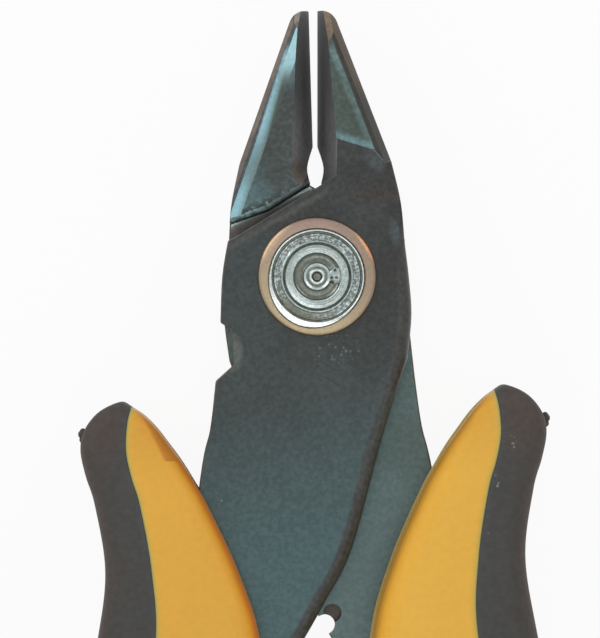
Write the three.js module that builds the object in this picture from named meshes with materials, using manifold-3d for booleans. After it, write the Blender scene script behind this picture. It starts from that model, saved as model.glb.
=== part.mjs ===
// Small cutting pliers for electronics work: two lap-jointed steel levers on a turned rivet,
// two-colour moulded grips and a hairpin return spring.
// Millimetres. +X runs across the tool, +Y to the jaw tips and +Z out of the front face.
// The origin lies on the pivot axis, at the flat back face of the rivet.

import * as THREE from 'three';
import { mergeVertices } from 'three/addons/utils/BufferGeometryUtils.js';
import Module from 'manifold-3d';

const wasm = await Module();
wasm.setup();

const DEGREE = Math.PI / 180;

// Opening of the jaws at rest, shared by the two levers
const REST_OPENING = 1.75 * DEGREE;

// Pivot
const SHANK_RADIUS = 2.4;
const RIVET_HEAD_RADIUS = 3.2;
const CUP_WALL = 0.7;
const CUP_FLOOR = 0.5;
const CUP_SINK = 1.1;
const CUP_LIP = 0.3;
const HEAD_PROUD = 0.35;
const TURNING_CLEARANCE = 0.08;
const SEAT_CLEARANCE = 0.05;
const ROUND_SIDES = 48;

// Turned rings of the rivet's front head: share of its radius, and depth below its top
const RIVET_RINGS = [
  [1, 0], [0.965, 0], [0.92, 0.2], [0.8, 0.22], [0.75, 0.03], [0.7, 0.17], [0.66, 0.05],
  [0.53, 0.06], [0.485, 0.42], [0.26, 0.45], [0.235, 0.16], [0.13, 0.14], [0.08, 0.5], [0, 0.5],
];

// Lever plates and the lap joint between them
const PLATE = 3.0;
const PLATE_GAP = 0.1;
const HEAD_WALL = 2.35;
const LAP_WALL = 1.2;
const LAP_ANGLE = 31 * DEGREE;
const LAP_REACH = 4.6;
const LAP_CORNER_SHARE = 0.62;
const SHOULDER_GAP = 0.4;
const SHOULDER_ANGLE = 30 * DEGREE;
const SHOULDER_BEND = 0.4;
const SHOULDER_REACH = 2.9;
const OPENING_RELIEF = 10 * DEGREE;

// Jaws
const JAW_REACH = 18;
const JAW_TIP_WIDTH = 1.05;
const JAW_TIP_ROUND = 0.85;
const JAW_ROOT = 7.8;
const JAW_ROOT_WIDTH = 4.98;
const EDGE_CLEARANCE = 0.02;
const EDGE_LAND = 0.3;
const EYE_TOP = 8.8;
const EYE_MIDDLE = 7.4;
const EYE_WIDTH = 0.44;
const TIP_TILT = 37 * DEGREE;

// Outer side of the head and of a tang: distance outside the head's half width, and height
const HEAD_SIDE = [[-0.67, 5], [-0.4, 2.3], [-0.12, 0], [0.06, -2.6], [-0.22, -5.5]];
const TANG_SIDE = [[1.52, -13.3], [0.88, -10.2]];
const TANG_SIDE_TOP = 0.52;
const NECK_SIDE = 0.2;
const NECK_BULGE = 0.08;

// Inner edge of a tang above the grip and at the crotch, seen with the tang to the left
const TANG_INNER = [[4.45, -10.6], [2.35, -18.3]];
const TANG_CROTCH = [[0.43, -22.1], [-1.9, -26.2]];

// What sets the two tangs apart: metal taken off the outer side, and left on at the crotch
const FRONT_TANG = { trim: 0, fuller: 0 };
const BACK_TANG = { trim: 0.42, fuller: 0.55 };

// Notches in the tangs
const SIDE_NOTCH_TOP = -3.1;
const SIDE_NOTCH_LENGTH = 3.92;
const SIDE_NOTCH_DEPTH = 0.92;
const SIDE_NOTCH_FLOOR = 1.12;
const SIDE_NOTCH_LIP = 0.45;
const SIDE_NOTCH_LIP_SHARE = 0.75;
const ROUND_NOTCH_RADIUS = 0.7;
const ROUND_NOTCH_X = -0.2;
const ROUND_NOTCH_Y = -23.5;
const NOTCH_SINK = { x: 0.55, y: 0.8, radius: 0.62, depth: 0.8 };

// Grips
const GRIP_THICKNESS = 11.2;
const HORN_THICKNESS = 9.4;
const TAIL_THICKNESS = 9.8;
const INNER_EDGE_RADIUS = 1.5;
const OUTER_EDGE_RADIUS = 2.8;
const EDGE_SHARE_OF_WIDTH = 0.45;
const EDGE_SHARE_OF_HALF = 0.9;
const EDGE_STEPS = 4;
const END_ROUND = 2.6;
const END_SLICE = 0.004;
const END_THICKNESS_SHARE = 0.3;
const RINGS_PER_STRETCH = 3;
const SEAM_GAP = 0.1;
const TONGUE_THICKNESS = 4.4;
const COVER_WALL = 1.5;
const CORE_INNER_WALL = 2.6;
const CORE_OUTER_WALL = 1.3;
const TANG_FIT = 0.25;
const TANG_COVERED = -20;
const TANG_GRIPPED = -30;
const TANG_END = -88;

// The left grip sits this much further out and down on its tang, the right one this much less
const SEAT_OUT = 0.4;
const SEAT_DOWN = 0.4;

// Return spring
const WIRE = 1.2;
const SPRING_BEND_RADIUS = 1.5;
const SPRING_TOP = -30.5;
const SPRING_FOOT_Y = -51;
const SPRING_FOOT_DEPTH = 1.6;
const SPRING_CORNER = 1.8;
const WIRE_FIT = 0.25;

// Points along curved edges
const EDGE_CURVE_STEPS = 24;
const LONG_CURVE_STEPS = 48;
const SHORT_CURVE_STEPS = 8;
const SPRING_STEPS = 84;

// Levels along Z
const BACK_FACE = HEAD_PROUD;
const BACK_TOP = BACK_FACE + PLATE;
const FRONT_FLOOR = BACK_TOP + PLATE_GAP;
const FRONT_FACE = FRONT_FLOOR + PLATE;
const MIDDLE = (BACK_FACE + FRONT_FACE) / 2;
const RIVET_TOP = FRONT_FACE + HEAD_PROUD;

// Sizes that follow from the pivot
const CUP_RADIUS = RIVET_HEAD_RADIUS + SEAT_CLEARANCE + CUP_WALL;
const HEAD_HALF = CUP_RADIUS + HEAD_WALL;
const LAP_OFFSET = CUP_RADIUS + LAP_WALL;

// Grip stations at right angles to the tool: distances from the closed tool's middle line
const HORN_TOP = { x: 12.1, y: -8.4 };
const HORN_FOOT = { y: -15.1, inner: 6.85, seam: 11.46, outer: 14.5 };
const WAIST = { y: -19.5, inner: 4.8, seam: 10.68, outer: 13.82 };
const CROTCH = { y: -24.4, inner: 3.3, seam: 10.45, outer: 14.4 };
const THROAT = { y: -32, inner: 2.75, seam: 11.7, outer: 15.8 };
const SWELL = { y: -45, inner: 5.3, seam: 14.5, outer: 18.2 };
const PALM = { y: -60, inner: 8.7, seam: 17.1, outer: 20.4 };
const BELLY = { y: -80, inner: 10.5, seam: 17.9, outer: 21.1 };
const HEEL = { y: -100, inner: 9.9, seam: 15.9, outer: 19.1 };
const STATIONS = [HORN_FOOT, WAIST, CROTCH, THROAT, SWELL, PALM, BELLY, HEEL];
const HORN_OUTER = [[12.85, -8.05], [14.26, -8.7], [15.25, -9.95], [15.5, -11.3], [15.15, -13]];
const HORN_INNER = [[11.25, -8.95], [10.38, -9.8], [9.57, -10.83], [8.78, -11.88], [7.9, -13.27]];
const HORN_SEAM = [[12.35, -9.4], [12.46, -11], [12.1, -13]];
const TAIL_END = [14.2, -116.5];
const TAIL_OUTER = [[17.6, -109], [16.2, -114.6]];
const TAIL_INNER = [[10.0, -109], [11.6, -115]];
const TAIL_SEAM = [[14.4, -104], [12, -107.4], [7, -110]];
const SEAM_OVERRUN = { x: -0.2, y: 2 };
const TONGUE_TOP = { y: -11.2, seam: 12.45, outer: 15.45 };

const steel = { color: 0x424f51, roughness: 0.38, metalness: 0.9 };
const finishes = {
  lever: new THREE.MeshStandardMaterial(steel),
  rivet: new THREE.MeshStandardMaterial({ color: 0xa9b4b2, roughness: 0.3, metalness: 1 }),
  copper: new THREE.MeshStandardMaterial({ color: 0xb08a6a, roughness: 0.35, metalness: 0.9 }),
  spring: new THREE.MeshStandardMaterial({ color: 0x9aa0a0, roughness: 0.3, metalness: 1 }),
  core: new THREE.MeshStandardMaterial({ color: 0xdda648, roughness: 0.45, metalness: 0 }),
  cover: new THREE.MeshStandardMaterial({ color: 0x2b2a29, roughness: 0.7, metalness: 0 }),
};

// Closed solid from a geometry whose doubled vertices are merged and flat triangles dropped
function solidFrom(geometry) {
  geometry.deleteAttribute('normal');
  geometry.deleteAttribute('uv');
  const merged = mergeVertices(geometry, 1e-4);
  const corners = merged.index.array;
  const kept = [];
  for (let i = 0; i < corners.length; i += 3) {
    const [a, b, c] = [corners[i], corners[i + 1], corners[i + 2]];
    if (a !== b && b !== c && c !== a) kept.push(a, b, c);
  }
  const mesh = new wasm.Mesh({
    numProp: 3,
    vertProperties: Float32Array.from(merged.attributes.position.array),
    triVerts: Uint32Array.from(kept),
  });
  return new wasm.Manifold(mesh);
}

function meshFrom(solid, name, material) {
  const { vertProperties, triVerts } = solid.getMesh();
  const geometry = new THREE.BufferGeometry();
  geometry.setAttribute('position', new THREE.BufferAttribute(vertProperties, 3));
  geometry.setIndex(new THREE.BufferAttribute(triVerts, 1));
  geometry.computeVertexNormals();
  const mesh = new THREE.Mesh(geometry, material);
  mesh.name = name;
  return mesh;
}

// Flat slab of a plan outline between two levels
function slab(points, bottom, top) {
  const shape = new THREE.Shape(points);
  const geometry = new THREE.ExtrudeGeometry(shape, { depth: top - bottom, bevelEnabled: false });
  geometry.translate(0, 0, bottom);
  return solidFrom(geometry);
}

// Solid of revolution about an upright axis, from [radius, level] pairs
function turned(profile, x = 0, y = 0) {
  const points = profile.map(([radius, level]) => new THREE.Vector2(radius, level));
  const geometry = new THREE.LatheGeometry(points, ROUND_SIDES);
  geometry.rotateX(Math.PI / 2);
  geometry.translate(x, y, 0);
  return solidFrom(geometry);
}

function drill(radius, bottom, top, x = 0, y = 0) {
  return turned([[0, bottom], [radius, bottom], [radius, top], [0, top]], x, y);
}

// Everything on one side of a plane, up to a block's size away
function beyondPlane(point, normal) {
  const size = 5 * JAW_REACH;
  const geometry = new THREE.BoxGeometry(size, size, size);
  geometry.translate(0, 0, size / 2);
  const up = new THREE.Vector3(0, 0, 1);
  const turn = new THREE.Quaternion().setFromUnitVectors(up, normal.clone().normalize());
  geometry.applyQuaternion(turn);
  geometry.translate(point.x, point.y, point.z);
  return solidFrom(geometry);
}

const mirrored = (points, side) => points.map((p) => new THREE.Vector2(p.x * side, p.y));
const pairs = (list) => list.map(([x, y]) => new THREE.Vector2(x, y));
const smooth = (points, steps) => new THREE.SplineCurve(points).getPoints(steps);

// Point on the line that lies `offset` from the pivot, `along` from the foot of its perpendicular
function onSlantedLine(offset, angle, along) {
  const x = -Math.sin(angle) * offset + Math.cos(angle) * along;
  const y = Math.cos(angle) * offset + Math.sin(angle) * along;
  return new THREE.Vector2(x, y);
}

// Outer side of a jaw and of the head below it, from the jaw's root to the hip
function headSide() {
  const points = HEAD_SIDE.map(([out, y]) => [HEAD_HALF + out, y]);
  return smooth(pairs([[JAW_ROOT_WIDTH, JAW_ROOT], ...points]), EDGE_CURVE_STEPS);
}

// Inner edge of a tang, from the hip down to the crotch and on inside the grip
function tangInnerEdge(hip, fuller) {
  const crotch = TANG_CROTCH.map(([x, y]) => [x + fuller, y]);
  const points = [hip, ...pairs([...TANG_INNER, ...crotch])];
  for (const station of STATIONS) {
    const within = station.y < TANG_GRIPPED && station.y > TANG_END;
    if (within) points.push(new THREE.Vector2(-station.inner - CORE_INNER_WALL, station.y));
  }
  return smooth(points, LONG_CURVE_STEPS);
}

// Outer edge of a tang, from its end inside the grip up to the head
function tangOuterEdge(trim) {
  const points = [];
  for (const station of STATIONS) {
    const within = station.y < TANG_COVERED && station.y > TANG_END;
    if (within) points.unshift(new THREE.Vector2(-station.seam + CORE_OUTER_WALL, station.y));
  }
  const side = [...TANG_SIDE, [TANG_SIDE_TOP, SIDE_NOTCH_TOP - SIDE_NOTCH_LENGTH]];
  for (const [out, y] of side) points.push(new THREE.Vector2(trim - HEAD_HALF - out, y));
  return smooth(points, LONG_CURVE_STEPS);
}

// Edges of a tang down to its tip, with the tang to the left
function tangEdges({ trim, fuller }) {
  const inner = tangInnerEdge(headSide().at(-1), fuller);
  const outer = tangOuterEdge(trim);
  const tip = new THREE.Vector2((inner.at(-1).x + outer[0].x) / 2, TANG_END);
  return { inner, outer, tip };
}

// Notch in the outer side of a tang, from its lower end up
function sideNotch(neck) {
  const floor = SIDE_NOTCH_TOP - SIDE_NOTCH_LENGTH + SIDE_NOTCH_FLOOR;
  const lip = SIDE_NOTCH_TOP - SIDE_NOTCH_LIP;
  return [
    new THREE.Vector2(neck + SIDE_NOTCH_DEPTH, floor),
    new THREE.Vector2(neck + SIDE_NOTCH_DEPTH * SIDE_NOTCH_LIP_SHARE, lip),
  ];
}

// Plan of a lever plate, with the jaw to the right and the tang to the left
function platePlan(kind, withSideNotch) {
  const lapCorner = onSlantedLine(LAP_OFFSET, LAP_ANGLE, -HEAD_HALF * LAP_CORNER_SHARE);
  const lapEnd = onSlantedLine(LAP_OFFSET, LAP_ANGLE, LAP_REACH);
  const tang = tangEdges(kind);
  const neckX = kind.trim - HEAD_HALF - NECK_SIDE;
  const neck = [
    new THREE.Vector2(neckX, SIDE_NOTCH_TOP),
    new THREE.Vector2(kind.trim - HEAD_HALF - NECK_BULGE, 0),
    lapCorner,
  ];
  return [
    lapEnd,
    ...headSide(),
    ...tang.inner.slice(1),
    tang.tip,
    ...tang.outer,
    ...(withSideNotch ? sideNotch(neckX) : []),
    ...smooth(neck, SHORT_CURVE_STEPS),
  ];
}

// Room for a tang inside its grip: the tang's plan, wider by the fit all round
function tangPocketPlan(kind) {
  const tang = tangEdges(kind);
  const inside = offsetCurve(tang.inner, TANG_FIT);
  const outside = offsetCurve(tang.outer, TANG_FIT);
  return [...inside, new THREE.Vector2(tang.tip.x, tang.tip.y - TANG_FIT), ...outside];
}

// Open curve moved sideways to its left
function offsetCurve(points, distance) {
  return points.map((point, i) => {
    const before = points[Math.max(i - 1, 0)];
    const after = points[Math.min(i + 1, points.length - 1)];
    const along = after.clone().sub(before).normalize();
    return new THREE.Vector2(point.x - along.y * distance, point.y + along.x * distance);
  });
}

// Plan of a right-hand jaw: cutting edge, rounded tip, outer side, shoulder and throat
function jawPlan() {
  const bend = onSlantedLine(LAP_OFFSET + SHOULDER_GAP, SHOULDER_ANGLE, -SHOULDER_BEND);
  const inner = onSlantedLine(LAP_OFFSET + SHOULDER_GAP, SHOULDER_ANGLE, SHOULDER_REACH);
  const reliefSlope = Math.tan(SHOULDER_ANGLE - OPENING_RELIEF);
  const aboveRelief = (p) => p.y > bend.y - reliefSlope * (p.x + bend.x);
  const tipSide = new THREE.Vector2(JAW_ROOT_WIDTH - JAW_TIP_WIDTH, JAW_ROOT - JAW_REACH).normalize();
  const tip = new THREE.Vector2(JAW_TIP_WIDTH, JAW_REACH);
  const tipRound = new THREE.QuadraticBezierCurve(
    new THREE.Vector2(JAW_TIP_WIDTH - JAW_TIP_ROUND, JAW_REACH),
    tip,
    tip.clone().addScaledVector(tipSide, JAW_TIP_ROUND),
  );
  const throat = smooth([
    new THREE.Vector2(-inner.x, inner.y),
    new THREE.Vector2(EYE_WIDTH, EYE_MIDDLE),
    new THREE.Vector2(EDGE_CLEARANCE, EYE_TOP),
  ], SHORT_CURVE_STEPS);
  return [
    ...throat,
    new THREE.Vector2(EDGE_CLEARANCE, JAW_REACH),
    ...tipRound.getPoints(SHORT_CURVE_STEPS),
    ...headSide().filter(aboveRelief),
    new THREE.Vector2(-bend.x, bend.y),
  ];
}

// The two ways the jaws are ground, as seen with the jaw to the right. The side facets follow one
// another to the outer edge, each from its own distance inside that edge.
const shortGrind = {
  start: [1.3, 9.3],
  drop: 0,
  lean: 16 * DEGREE,
  slope: 0.4,
  bevel: 12.5 * DEGREE,
  bevelEnd: 6.6,
  tip: { length: 1.3, depth: 0.3 },
  sides: [{ inside: 0.8, tilt: 40 * DEGREE }, { inside: 0.36, tilt: 64 * DEGREE }],
};
const longGrind = {
  start: [2, 4.6],
  drop: 0.45,
  lean: 0,
  slope: 0.2,
  bevel: 17.2 * DEGREE,
  bevelEnd: 7.5,
  tip: { length: 1, depth: 0.33 },
  sides: [
    { inside: 1.25, tilt: 24 * DEGREE },
    { inside: 0.42, tilt: 42 * DEGREE },
    { inside: 0.28, tilt: 60 * DEGREE },
  ],
};

// Level of a jaw's ground front face over a point of its plan
function groundLevel(grind, x, y) {
  const run = (x - grind.start[0]) * Math.sin(grind.lean) + (y - grind.start[1]) * Math.cos(grind.lean);
  return FRONT_FACE - grind.drop - grind.slope * run;
}

// Wedge with a conical end that grinds the blade's bevel along the cutting edge
function bladeBevel(grind) {
  const foot = BACK_FACE + EDGE_LAND;
  const top = FRONT_FACE + PLATE;
  const spread = Math.tan(grind.bevel) * (top - foot);
  const length = JAW_REACH * 2;
  const section = new THREE.Shape(pairs([[-spread, top], [EDGE_CLEARANCE, foot], [spread, top]]));
  const wedge = new THREE.ExtrudeGeometry(section, { depth: length, bevelEnabled: false });
  wedge.rotateX(Math.PI / 2);
  wedge.translate(0, grind.bevelEnd + length, 0);
  const cone = turned([[0, foot], [spread, top], [0, top]], 0, grind.bevelEnd);
  return solidFrom(wedge).add(cone);
}

// Jaw with its blade, its ground front, the facet at its tip and the facets along its outer side
function jaw(grind, side) {
  const at = (x, y, z) => new THREE.Vector3(x * side, y, z);
  let solid = slab(mirrored(jawPlan(), side), BACK_FACE, FRONT_FACE);
  const fall = at(grind.slope * Math.sin(grind.lean), grind.slope * Math.cos(grind.lean), 1);
  const start = at(grind.start[0], grind.start[1], FRONT_FACE - grind.drop);
  solid = solid.subtract(beyondPlane(start, fall));
  const run = new THREE.Vector2(JAW_TIP_WIDTH - JAW_ROOT_WIDTH, JAW_REACH - JAW_ROOT).normalize();
  let drop = 0;
  grind.sides.forEach(({ inside, tilt }, i) => {
    const x = JAW_ROOT_WIDTH - inside * run.y;
    const y = JAW_ROOT + inside * run.x;
    const level = groundLevel(grind, x, y);
    const rise = groundLevel(grind, x + run.x, y + run.y) - level;
    const along = at(run.x, run.y, rise);
    const across = at(run.y * Math.cos(tilt), -run.x * Math.cos(tilt), -Math.sin(tilt));
    const normal = across.clone().cross(along).multiplyScalar(side);
    solid = solid.subtract(beyondPlane(at(x, y, level - drop), normal));
    const next = grind.sides[i + 1]?.inside ?? 0;
    drop += (inside - next) * Math.tan(tilt);
  });
  const tipX = JAW_TIP_WIDTH / 2;
  const tipY = JAW_REACH - grind.tip.length;
  const tipPoint = at(tipX, tipY, groundLevel(grind, tipX, tipY) - grind.tip.depth);
  const tipTilt = at(0, Math.sin(TIP_TILT), Math.cos(TIP_TILT));
  solid = solid.subtract(beyondPlane(tipPoint, tipTilt));
  return solid.subtract(bladeBevel(grind));
}

// Recess for a cup washer and the hole for the rivet's shank
function pivotHole(floor, face, clearance) {
  const past = Math.sign(face - floor);
  const recess = [face - past * CUP_SINK, face + past].sort((a, b) => a - b);
  const hole = [floor, face].sort((a, b) => a - b);
  return drill(SHANK_RADIUS + clearance, hole[0] - 1, hole[1] + 1)
    .add(drill(CUP_RADIUS + SEAT_CLEARANCE, recess[0], recess[1]));
}

function frontLever() {
  const plate = slab(platePlan(FRONT_TANG, true), FRONT_FLOOR, FRONT_FACE);
  const hole = pivotHole(FRONT_FLOOR, FRONT_FACE, SEAT_CLEARANCE);
  return plate.add(jaw(shortGrind, 1)).subtract(hole);
}

function backLever() {
  const plan = mirrored(platePlan(BACK_TANG, false), -1);
  const plate = slab(plan, BACK_FACE, BACK_TOP);
  const hole = pivotHole(BACK_TOP, BACK_FACE, TURNING_CLEARANCE);
  const notch = drill(ROUND_NOTCH_RADIUS, BACK_FACE - 1, BACK_TOP + 1, ROUND_NOTCH_X, ROUND_NOTCH_Y);
  const sinkX = ROUND_NOTCH_X + NOTCH_SINK.x;
  const sinkY = ROUND_NOTCH_Y + NOTCH_SINK.y;
  const sink = drill(NOTCH_SINK.radius, BACK_TOP - NOTCH_SINK.depth, BACK_TOP + 1, sinkX, sinkY);
  return plate.add(jaw(longGrind, -1)).subtract(hole).subtract(notch).subtract(sink);
}

// Turned rivet: flat back head, shank and a front head with turned rings round a small boss
function pivotRivet() {
  const headBottom = HEAD_PROUD + CUP_SINK - CUP_FLOOR - SEAT_CLEARANCE;
  const face = RIVET_RINGS.map(([share, depth]) => [share * RIVET_HEAD_RADIUS, RIVET_TOP - depth]);
  return turned([
    [0, 0],
    [RIVET_HEAD_RADIUS - CUP_LIP, 0],
    [RIVET_HEAD_RADIUS, CUP_LIP],
    [RIVET_HEAD_RADIUS, headBottom],
    [SHANK_RADIUS, headBottom],
    [SHANK_RADIUS, RIVET_TOP - headBottom],
    [RIVET_HEAD_RADIUS, RIVET_TOP - headBottom],
    ...face,
  ]);
}

// Cup washer seen from its own face: a floor under the rivet's head and a rounded wall round it
function cupWasher(face, outward) {
  const floor = face - outward * (CUP_SINK - SEAT_CLEARANCE);
  const ledge = floor + outward * (CUP_FLOOR - SEAT_CLEARANCE);
  const rim = face + outward * HEAD_PROUD;
  const bore = SHANK_RADIUS + TURNING_CLEARANCE;
  const wallInside = RIVET_HEAD_RADIUS + SEAT_CLEARANCE;
  const profile = [
    [bore, floor],
    [CUP_RADIUS, floor],
    [CUP_RADIUS, rim - outward * CUP_LIP],
    [CUP_RADIUS - CUP_LIP * 0.3, rim - outward * CUP_LIP * 0.3],
    [CUP_RADIUS - CUP_LIP, rim],
    [wallInside, rim],
    [wallInside, ledge],
    [bore, ledge],
  ];
  if (outward < 0) profile.reverse();
  return turned([...profile, profile[0]]);
}

// Plan curves of a grip on the left tang, moved by how far it is seated on that tang
function gripCurves(seat) {
  const placed = ([x, y]) => new THREE.Vector2(-x - seat * SEAT_OUT, y - seat * SEAT_DOWN);
  const edge = (horn, column, tail) => [
    ...horn.map(placed),
    ...STATIONS.map((station) => placed([station[column], station.y])),
    ...tail.map(placed),
  ];
  const top = placed([HORN_TOP.x, HORN_TOP.y]);
  const end = placed(TAIL_END);
  const seamStart = placed([HORN_TOP.x + SEAM_OVERRUN.x, HORN_TOP.y + SEAM_OVERRUN.y]);
  return {
    outer: [top, ...edge(HORN_OUTER, 'outer', TAIL_OUTER), end],
    inner: [top, ...edge(HORN_INNER, 'inner', TAIL_INNER), end],
    seam: [seamStart, top, ...edge(HORN_SEAM, 'seam', TAIL_SEAM)],
  };
}

// Thickness of a grip along its length: thinner at the horn and the tail, even between them
function gripThickness(y) {
  const horn = THREE.MathUtils.smoothstep(-y, -HORN_TOP.y, -CROTCH.y);
  const tail = THREE.MathUtils.smoothstep(-y, -HEEL.y, -TAIL_END[1]);
  const upper = THREE.MathUtils.lerp(HORN_THICKNESS, GRIP_THICKNESS, horn);
  return THREE.MathUtils.lerp(upper, TAIL_THICKNESS, tail);
}

// Cross-section between an inner and an outer point: flat faces with rounded edges
function gripSection(inner, outer, thickness) {
  const width = outer.distanceTo(inner);
  const across = outer.clone().sub(inner).normalize();
  const half = thickness / 2;
  const corners = [
    { radius: INNER_EDGE_RADIUS, from: 0, face: -1, quarter: 2 },
    { radius: OUTER_EDGE_RADIUS, from: 1, face: -1, quarter: 3 },
    { radius: OUTER_EDGE_RADIUS, from: 1, face: 1, quarter: 0 },
    { radius: INNER_EDGE_RADIUS, from: 0, face: 1, quarter: 1 },
  ];
  const ring = [];
  for (const corner of corners) {
    const radius = Math.min(corner.radius, width * EDGE_SHARE_OF_WIDTH, half * EDGE_SHARE_OF_HALF);
    const centre = corner.from ? width - radius : radius;
    for (let step = 0; step <= EDGE_STEPS; step += 1) {
      const angle = (corner.quarter + step / EDGE_STEPS) * (Math.PI / 2);
      const s = centre + radius * Math.cos(angle);
      const z = MIDDLE + corner.face * (half - radius) + radius * Math.sin(angle);
      ring.push([inner.x + across.x * s, inner.y + across.y * s, z]);
    }
  }
  return ring;
}

// Closed body through a row of equal rings, with a fan over each end
function loft(rings) {
  const count = rings[0].length;
  const positions = rings.flat(2);
  const index = [];
  for (let r = 0; r + 1 < rings.length; r += 1) {
    for (let i = 0; i < count; i += 1) {
      const a = r * count + i;
      const b = r * count + ((i + 1) % count);
      index.push(a, b + count, b, a, a + count, b + count);
    }
  }
  const last = (rings.length - 1) * count;
  for (let i = 1; i + 1 < count; i += 1) {
    index.push(0, i, i + 1, last, last + i + 1, last + i);
  }
  const geometry = new THREE.BufferGeometry();
  geometry.setAttribute('position', new THREE.Float32BufferAttribute(positions, 3));
  geometry.setIndex(index);
  return solidFrom(geometry);
}

// Whole grip, both colours together
function gripBody(curves) {
  const outer = new THREE.SplineCurve(curves.outer);
  const inner = new THREE.SplineCurve(curves.inner);
  const steps = (curves.outer.length - 1) * RINGS_PER_STRETCH;
  const rings = [];
  for (let step = 0; step <= steps; step += 1) {
    const along = THREE.MathUtils.clamp(step / steps, END_SLICE, 1 - END_SLICE);
    const a = inner.getPoint(along);
    const b = outer.getPoint(along);
    const toEnd = Math.min(a.distanceTo(curves.outer[0]), a.distanceTo(curves.outer.at(-1)));
    const rounding = Math.sqrt(1 - (1 - Math.min(toEnd / END_ROUND, 1)) ** 2);
    const thickness = gripThickness(a.y) * Math.max(rounding, END_THICKNESS_SHARE);
    rings.push(gripSection(a, b, thickness));
  }
  return loft(rings);
}

// Plan of everything outside the seam line of a grip, with the line moved sideways
function outsideSeam(curves, shift) {
  const line = offsetCurve(smooth(curves.seam, LONG_CURVE_STEPS), shift);
  const far = 3 * Math.abs(TAIL_END[0]);
  const below = TAIL_END[1] - far;
  const corners = [[line.at(-1).x, below], [-far, below], [-far, far], [line[0].x, far]];
  return [...line, ...pairs(corners)];
}

// Tongue of the core that the cover is moulded round, grown by a clearance for the cover's groove
function tongue(seat, clearance) {
  const line = (column, inset) => [TONGUE_TOP, ...STATIONS].map((station) => {
    return new THREE.Vector2(-station[column] + inset - seat * SEAT_OUT, station.y - seat * SEAT_DOWN);
  });
  const outside = smooth(line('outer', COVER_WALL - clearance), EDGE_CURVE_STEPS);
  const inside = smooth(line('seam', COVER_WALL), EDGE_CURVE_STEPS);
  outside[0].y += clearance;
  outside.at(-1).y -= clearance;
  const half = TONGUE_THICKNESS / 2 + clearance;
  return slab([...outside, ...inside.reverse()], MIDDLE - half, MIDDLE + half);
}

// Point where the inner edge of a grip crosses a given height
function innerEdgeAt(curves, y) {
  return new THREE.SplineCurve(curves.inner).getSpacedPoints(400).find((point) => point.y < y);
}

// Blind hole in the core for the foot of the spring
function footHole(mouth) {
  const length = SPRING_FOOT_DEPTH + WIRE_FIT + WIRE;
  const radius = WIRE / 2 + WIRE_FIT;
  const geometry = new THREE.CylinderGeometry(radius, radius, length, 16);
  geometry.rotateZ(Math.PI / 2);
  geometry.translate(mouth.x + WIRE - length / 2, mouth.y, MIDDLE);
  return solidFrom(geometry);
}

// Core and cover of a grip for the left tang, round a tang between two levels
function grip(seat, kind, tangBottom, tangTop) {
  const curves = gripCurves(seat);
  const body = gripBody(curves);
  const beyond = slab(outsideSeam(curves, SEAM_GAP / 2), -GRIP_THICKNESS, 2 * GRIP_THICKNESS);
  const outside = slab(outsideSeam(curves, -SEAM_GAP / 2), -GRIP_THICKNESS, 2 * GRIP_THICKNESS);
  const pocket = slab(tangPocketPlan(kind), tangBottom - TANG_FIT, tangTop + TANG_FIT);
  const mouth = innerEdgeAt(curves, SPRING_FOOT_Y);
  const core = body.subtract(beyond).add(tongue(seat, 0)).subtract(pocket).subtract(footHole(mouth));
  const cover = body.intersect(outside).subtract(tongue(seat, SEAM_GAP));
  return { core, cover, mouth };
}

// The same solid on the other side of the tool's middle plane
function acrossTheMiddle(solid) {
  const { vertProperties, triVerts } = solid.getMesh();
  const vertices = vertProperties.map((value, i) => (i % 3 === 0 ? -value : value));
  const triangles = triVerts.map((corner, i) => triVerts[i % 3 === 0 ? i : i + (i % 3 === 1 ? 1 : -1)]);
  return new wasm.Manifold(new wasm.Mesh({ numProp: 3, vertProperties: vertices, triVerts: triangles }));
}

// One half of the spring's route, from the middle of its bend to the foot in a grip
function springHalf(mouth, angle) {
  const turn = (x, y) => new THREE.Vector3(x, y, 0).applyAxisAngle(new THREE.Vector3(0, 0, 1), angle);
  const side = Math.sign(mouth.x);
  const seat = turn(mouth.x, mouth.y);
  const inward = turn(side, 0);
  const bend = new THREE.Vector3(side * SPRING_BEND_RADIUS, SPRING_TOP, 0);
  const corner = seat.clone().addScaledVector(inward, -SPRING_CORNER);
  const leg = corner.clone().sub(bend).normalize();
  const legTop = bend.clone().addScaledVector(leg, SPRING_BEND_RADIUS);
  const legFoot = corner.clone().addScaledVector(leg, -SPRING_CORNER);
  const foot = seat.clone().addScaledVector(inward, SPRING_FOOT_DEPTH);
  return [
    new THREE.QuadraticBezierCurve3(new THREE.Vector3(0, SPRING_TOP, 0), bend, legTop),
    new THREE.LineCurve3(legTop, legFoot),
    new THREE.QuadraticBezierCurve3(legFoot, corner, seat),
    new THREE.LineCurve3(seat, foot),
  ];
}

// The same stretch of a route, run the other way
function backwards(curve) {
  if (curve.isLineCurve3) return new THREE.LineCurve3(curve.v2, curve.v1);
  return new THREE.QuadraticBezierCurve3(curve.v2, curve.v1, curve.v0);
}

function springRoute(leftMouth, rightMouth) {
  const route = new THREE.CurvePath();
  const left = springHalf(leftMouth, -REST_OPENING / 2).reverse().map(backwards);
  const right = springHalf(rightMouth, REST_OPENING / 2);
  for (const curve of [...left, ...right]) route.add(curve);
  return route;
}

// Least gap between stretches of the wire that lie more than a bend apart along it
function leastSelfGap(route) {
  const count = 160;
  const points = route.getSpacedPoints(count);
  const apart = Math.ceil((Math.PI * SPRING_BEND_RADIUS + WIRE) / (route.getLength() / count));
  let least = Infinity;
  for (let i = 0; i < points.length; i += 1) {
    for (let j = i + apart; j < points.length; j += 1) {
      least = Math.min(least, points[i].distanceTo(points[j]) - WIRE);
    }
  }
  return least;
}

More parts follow.
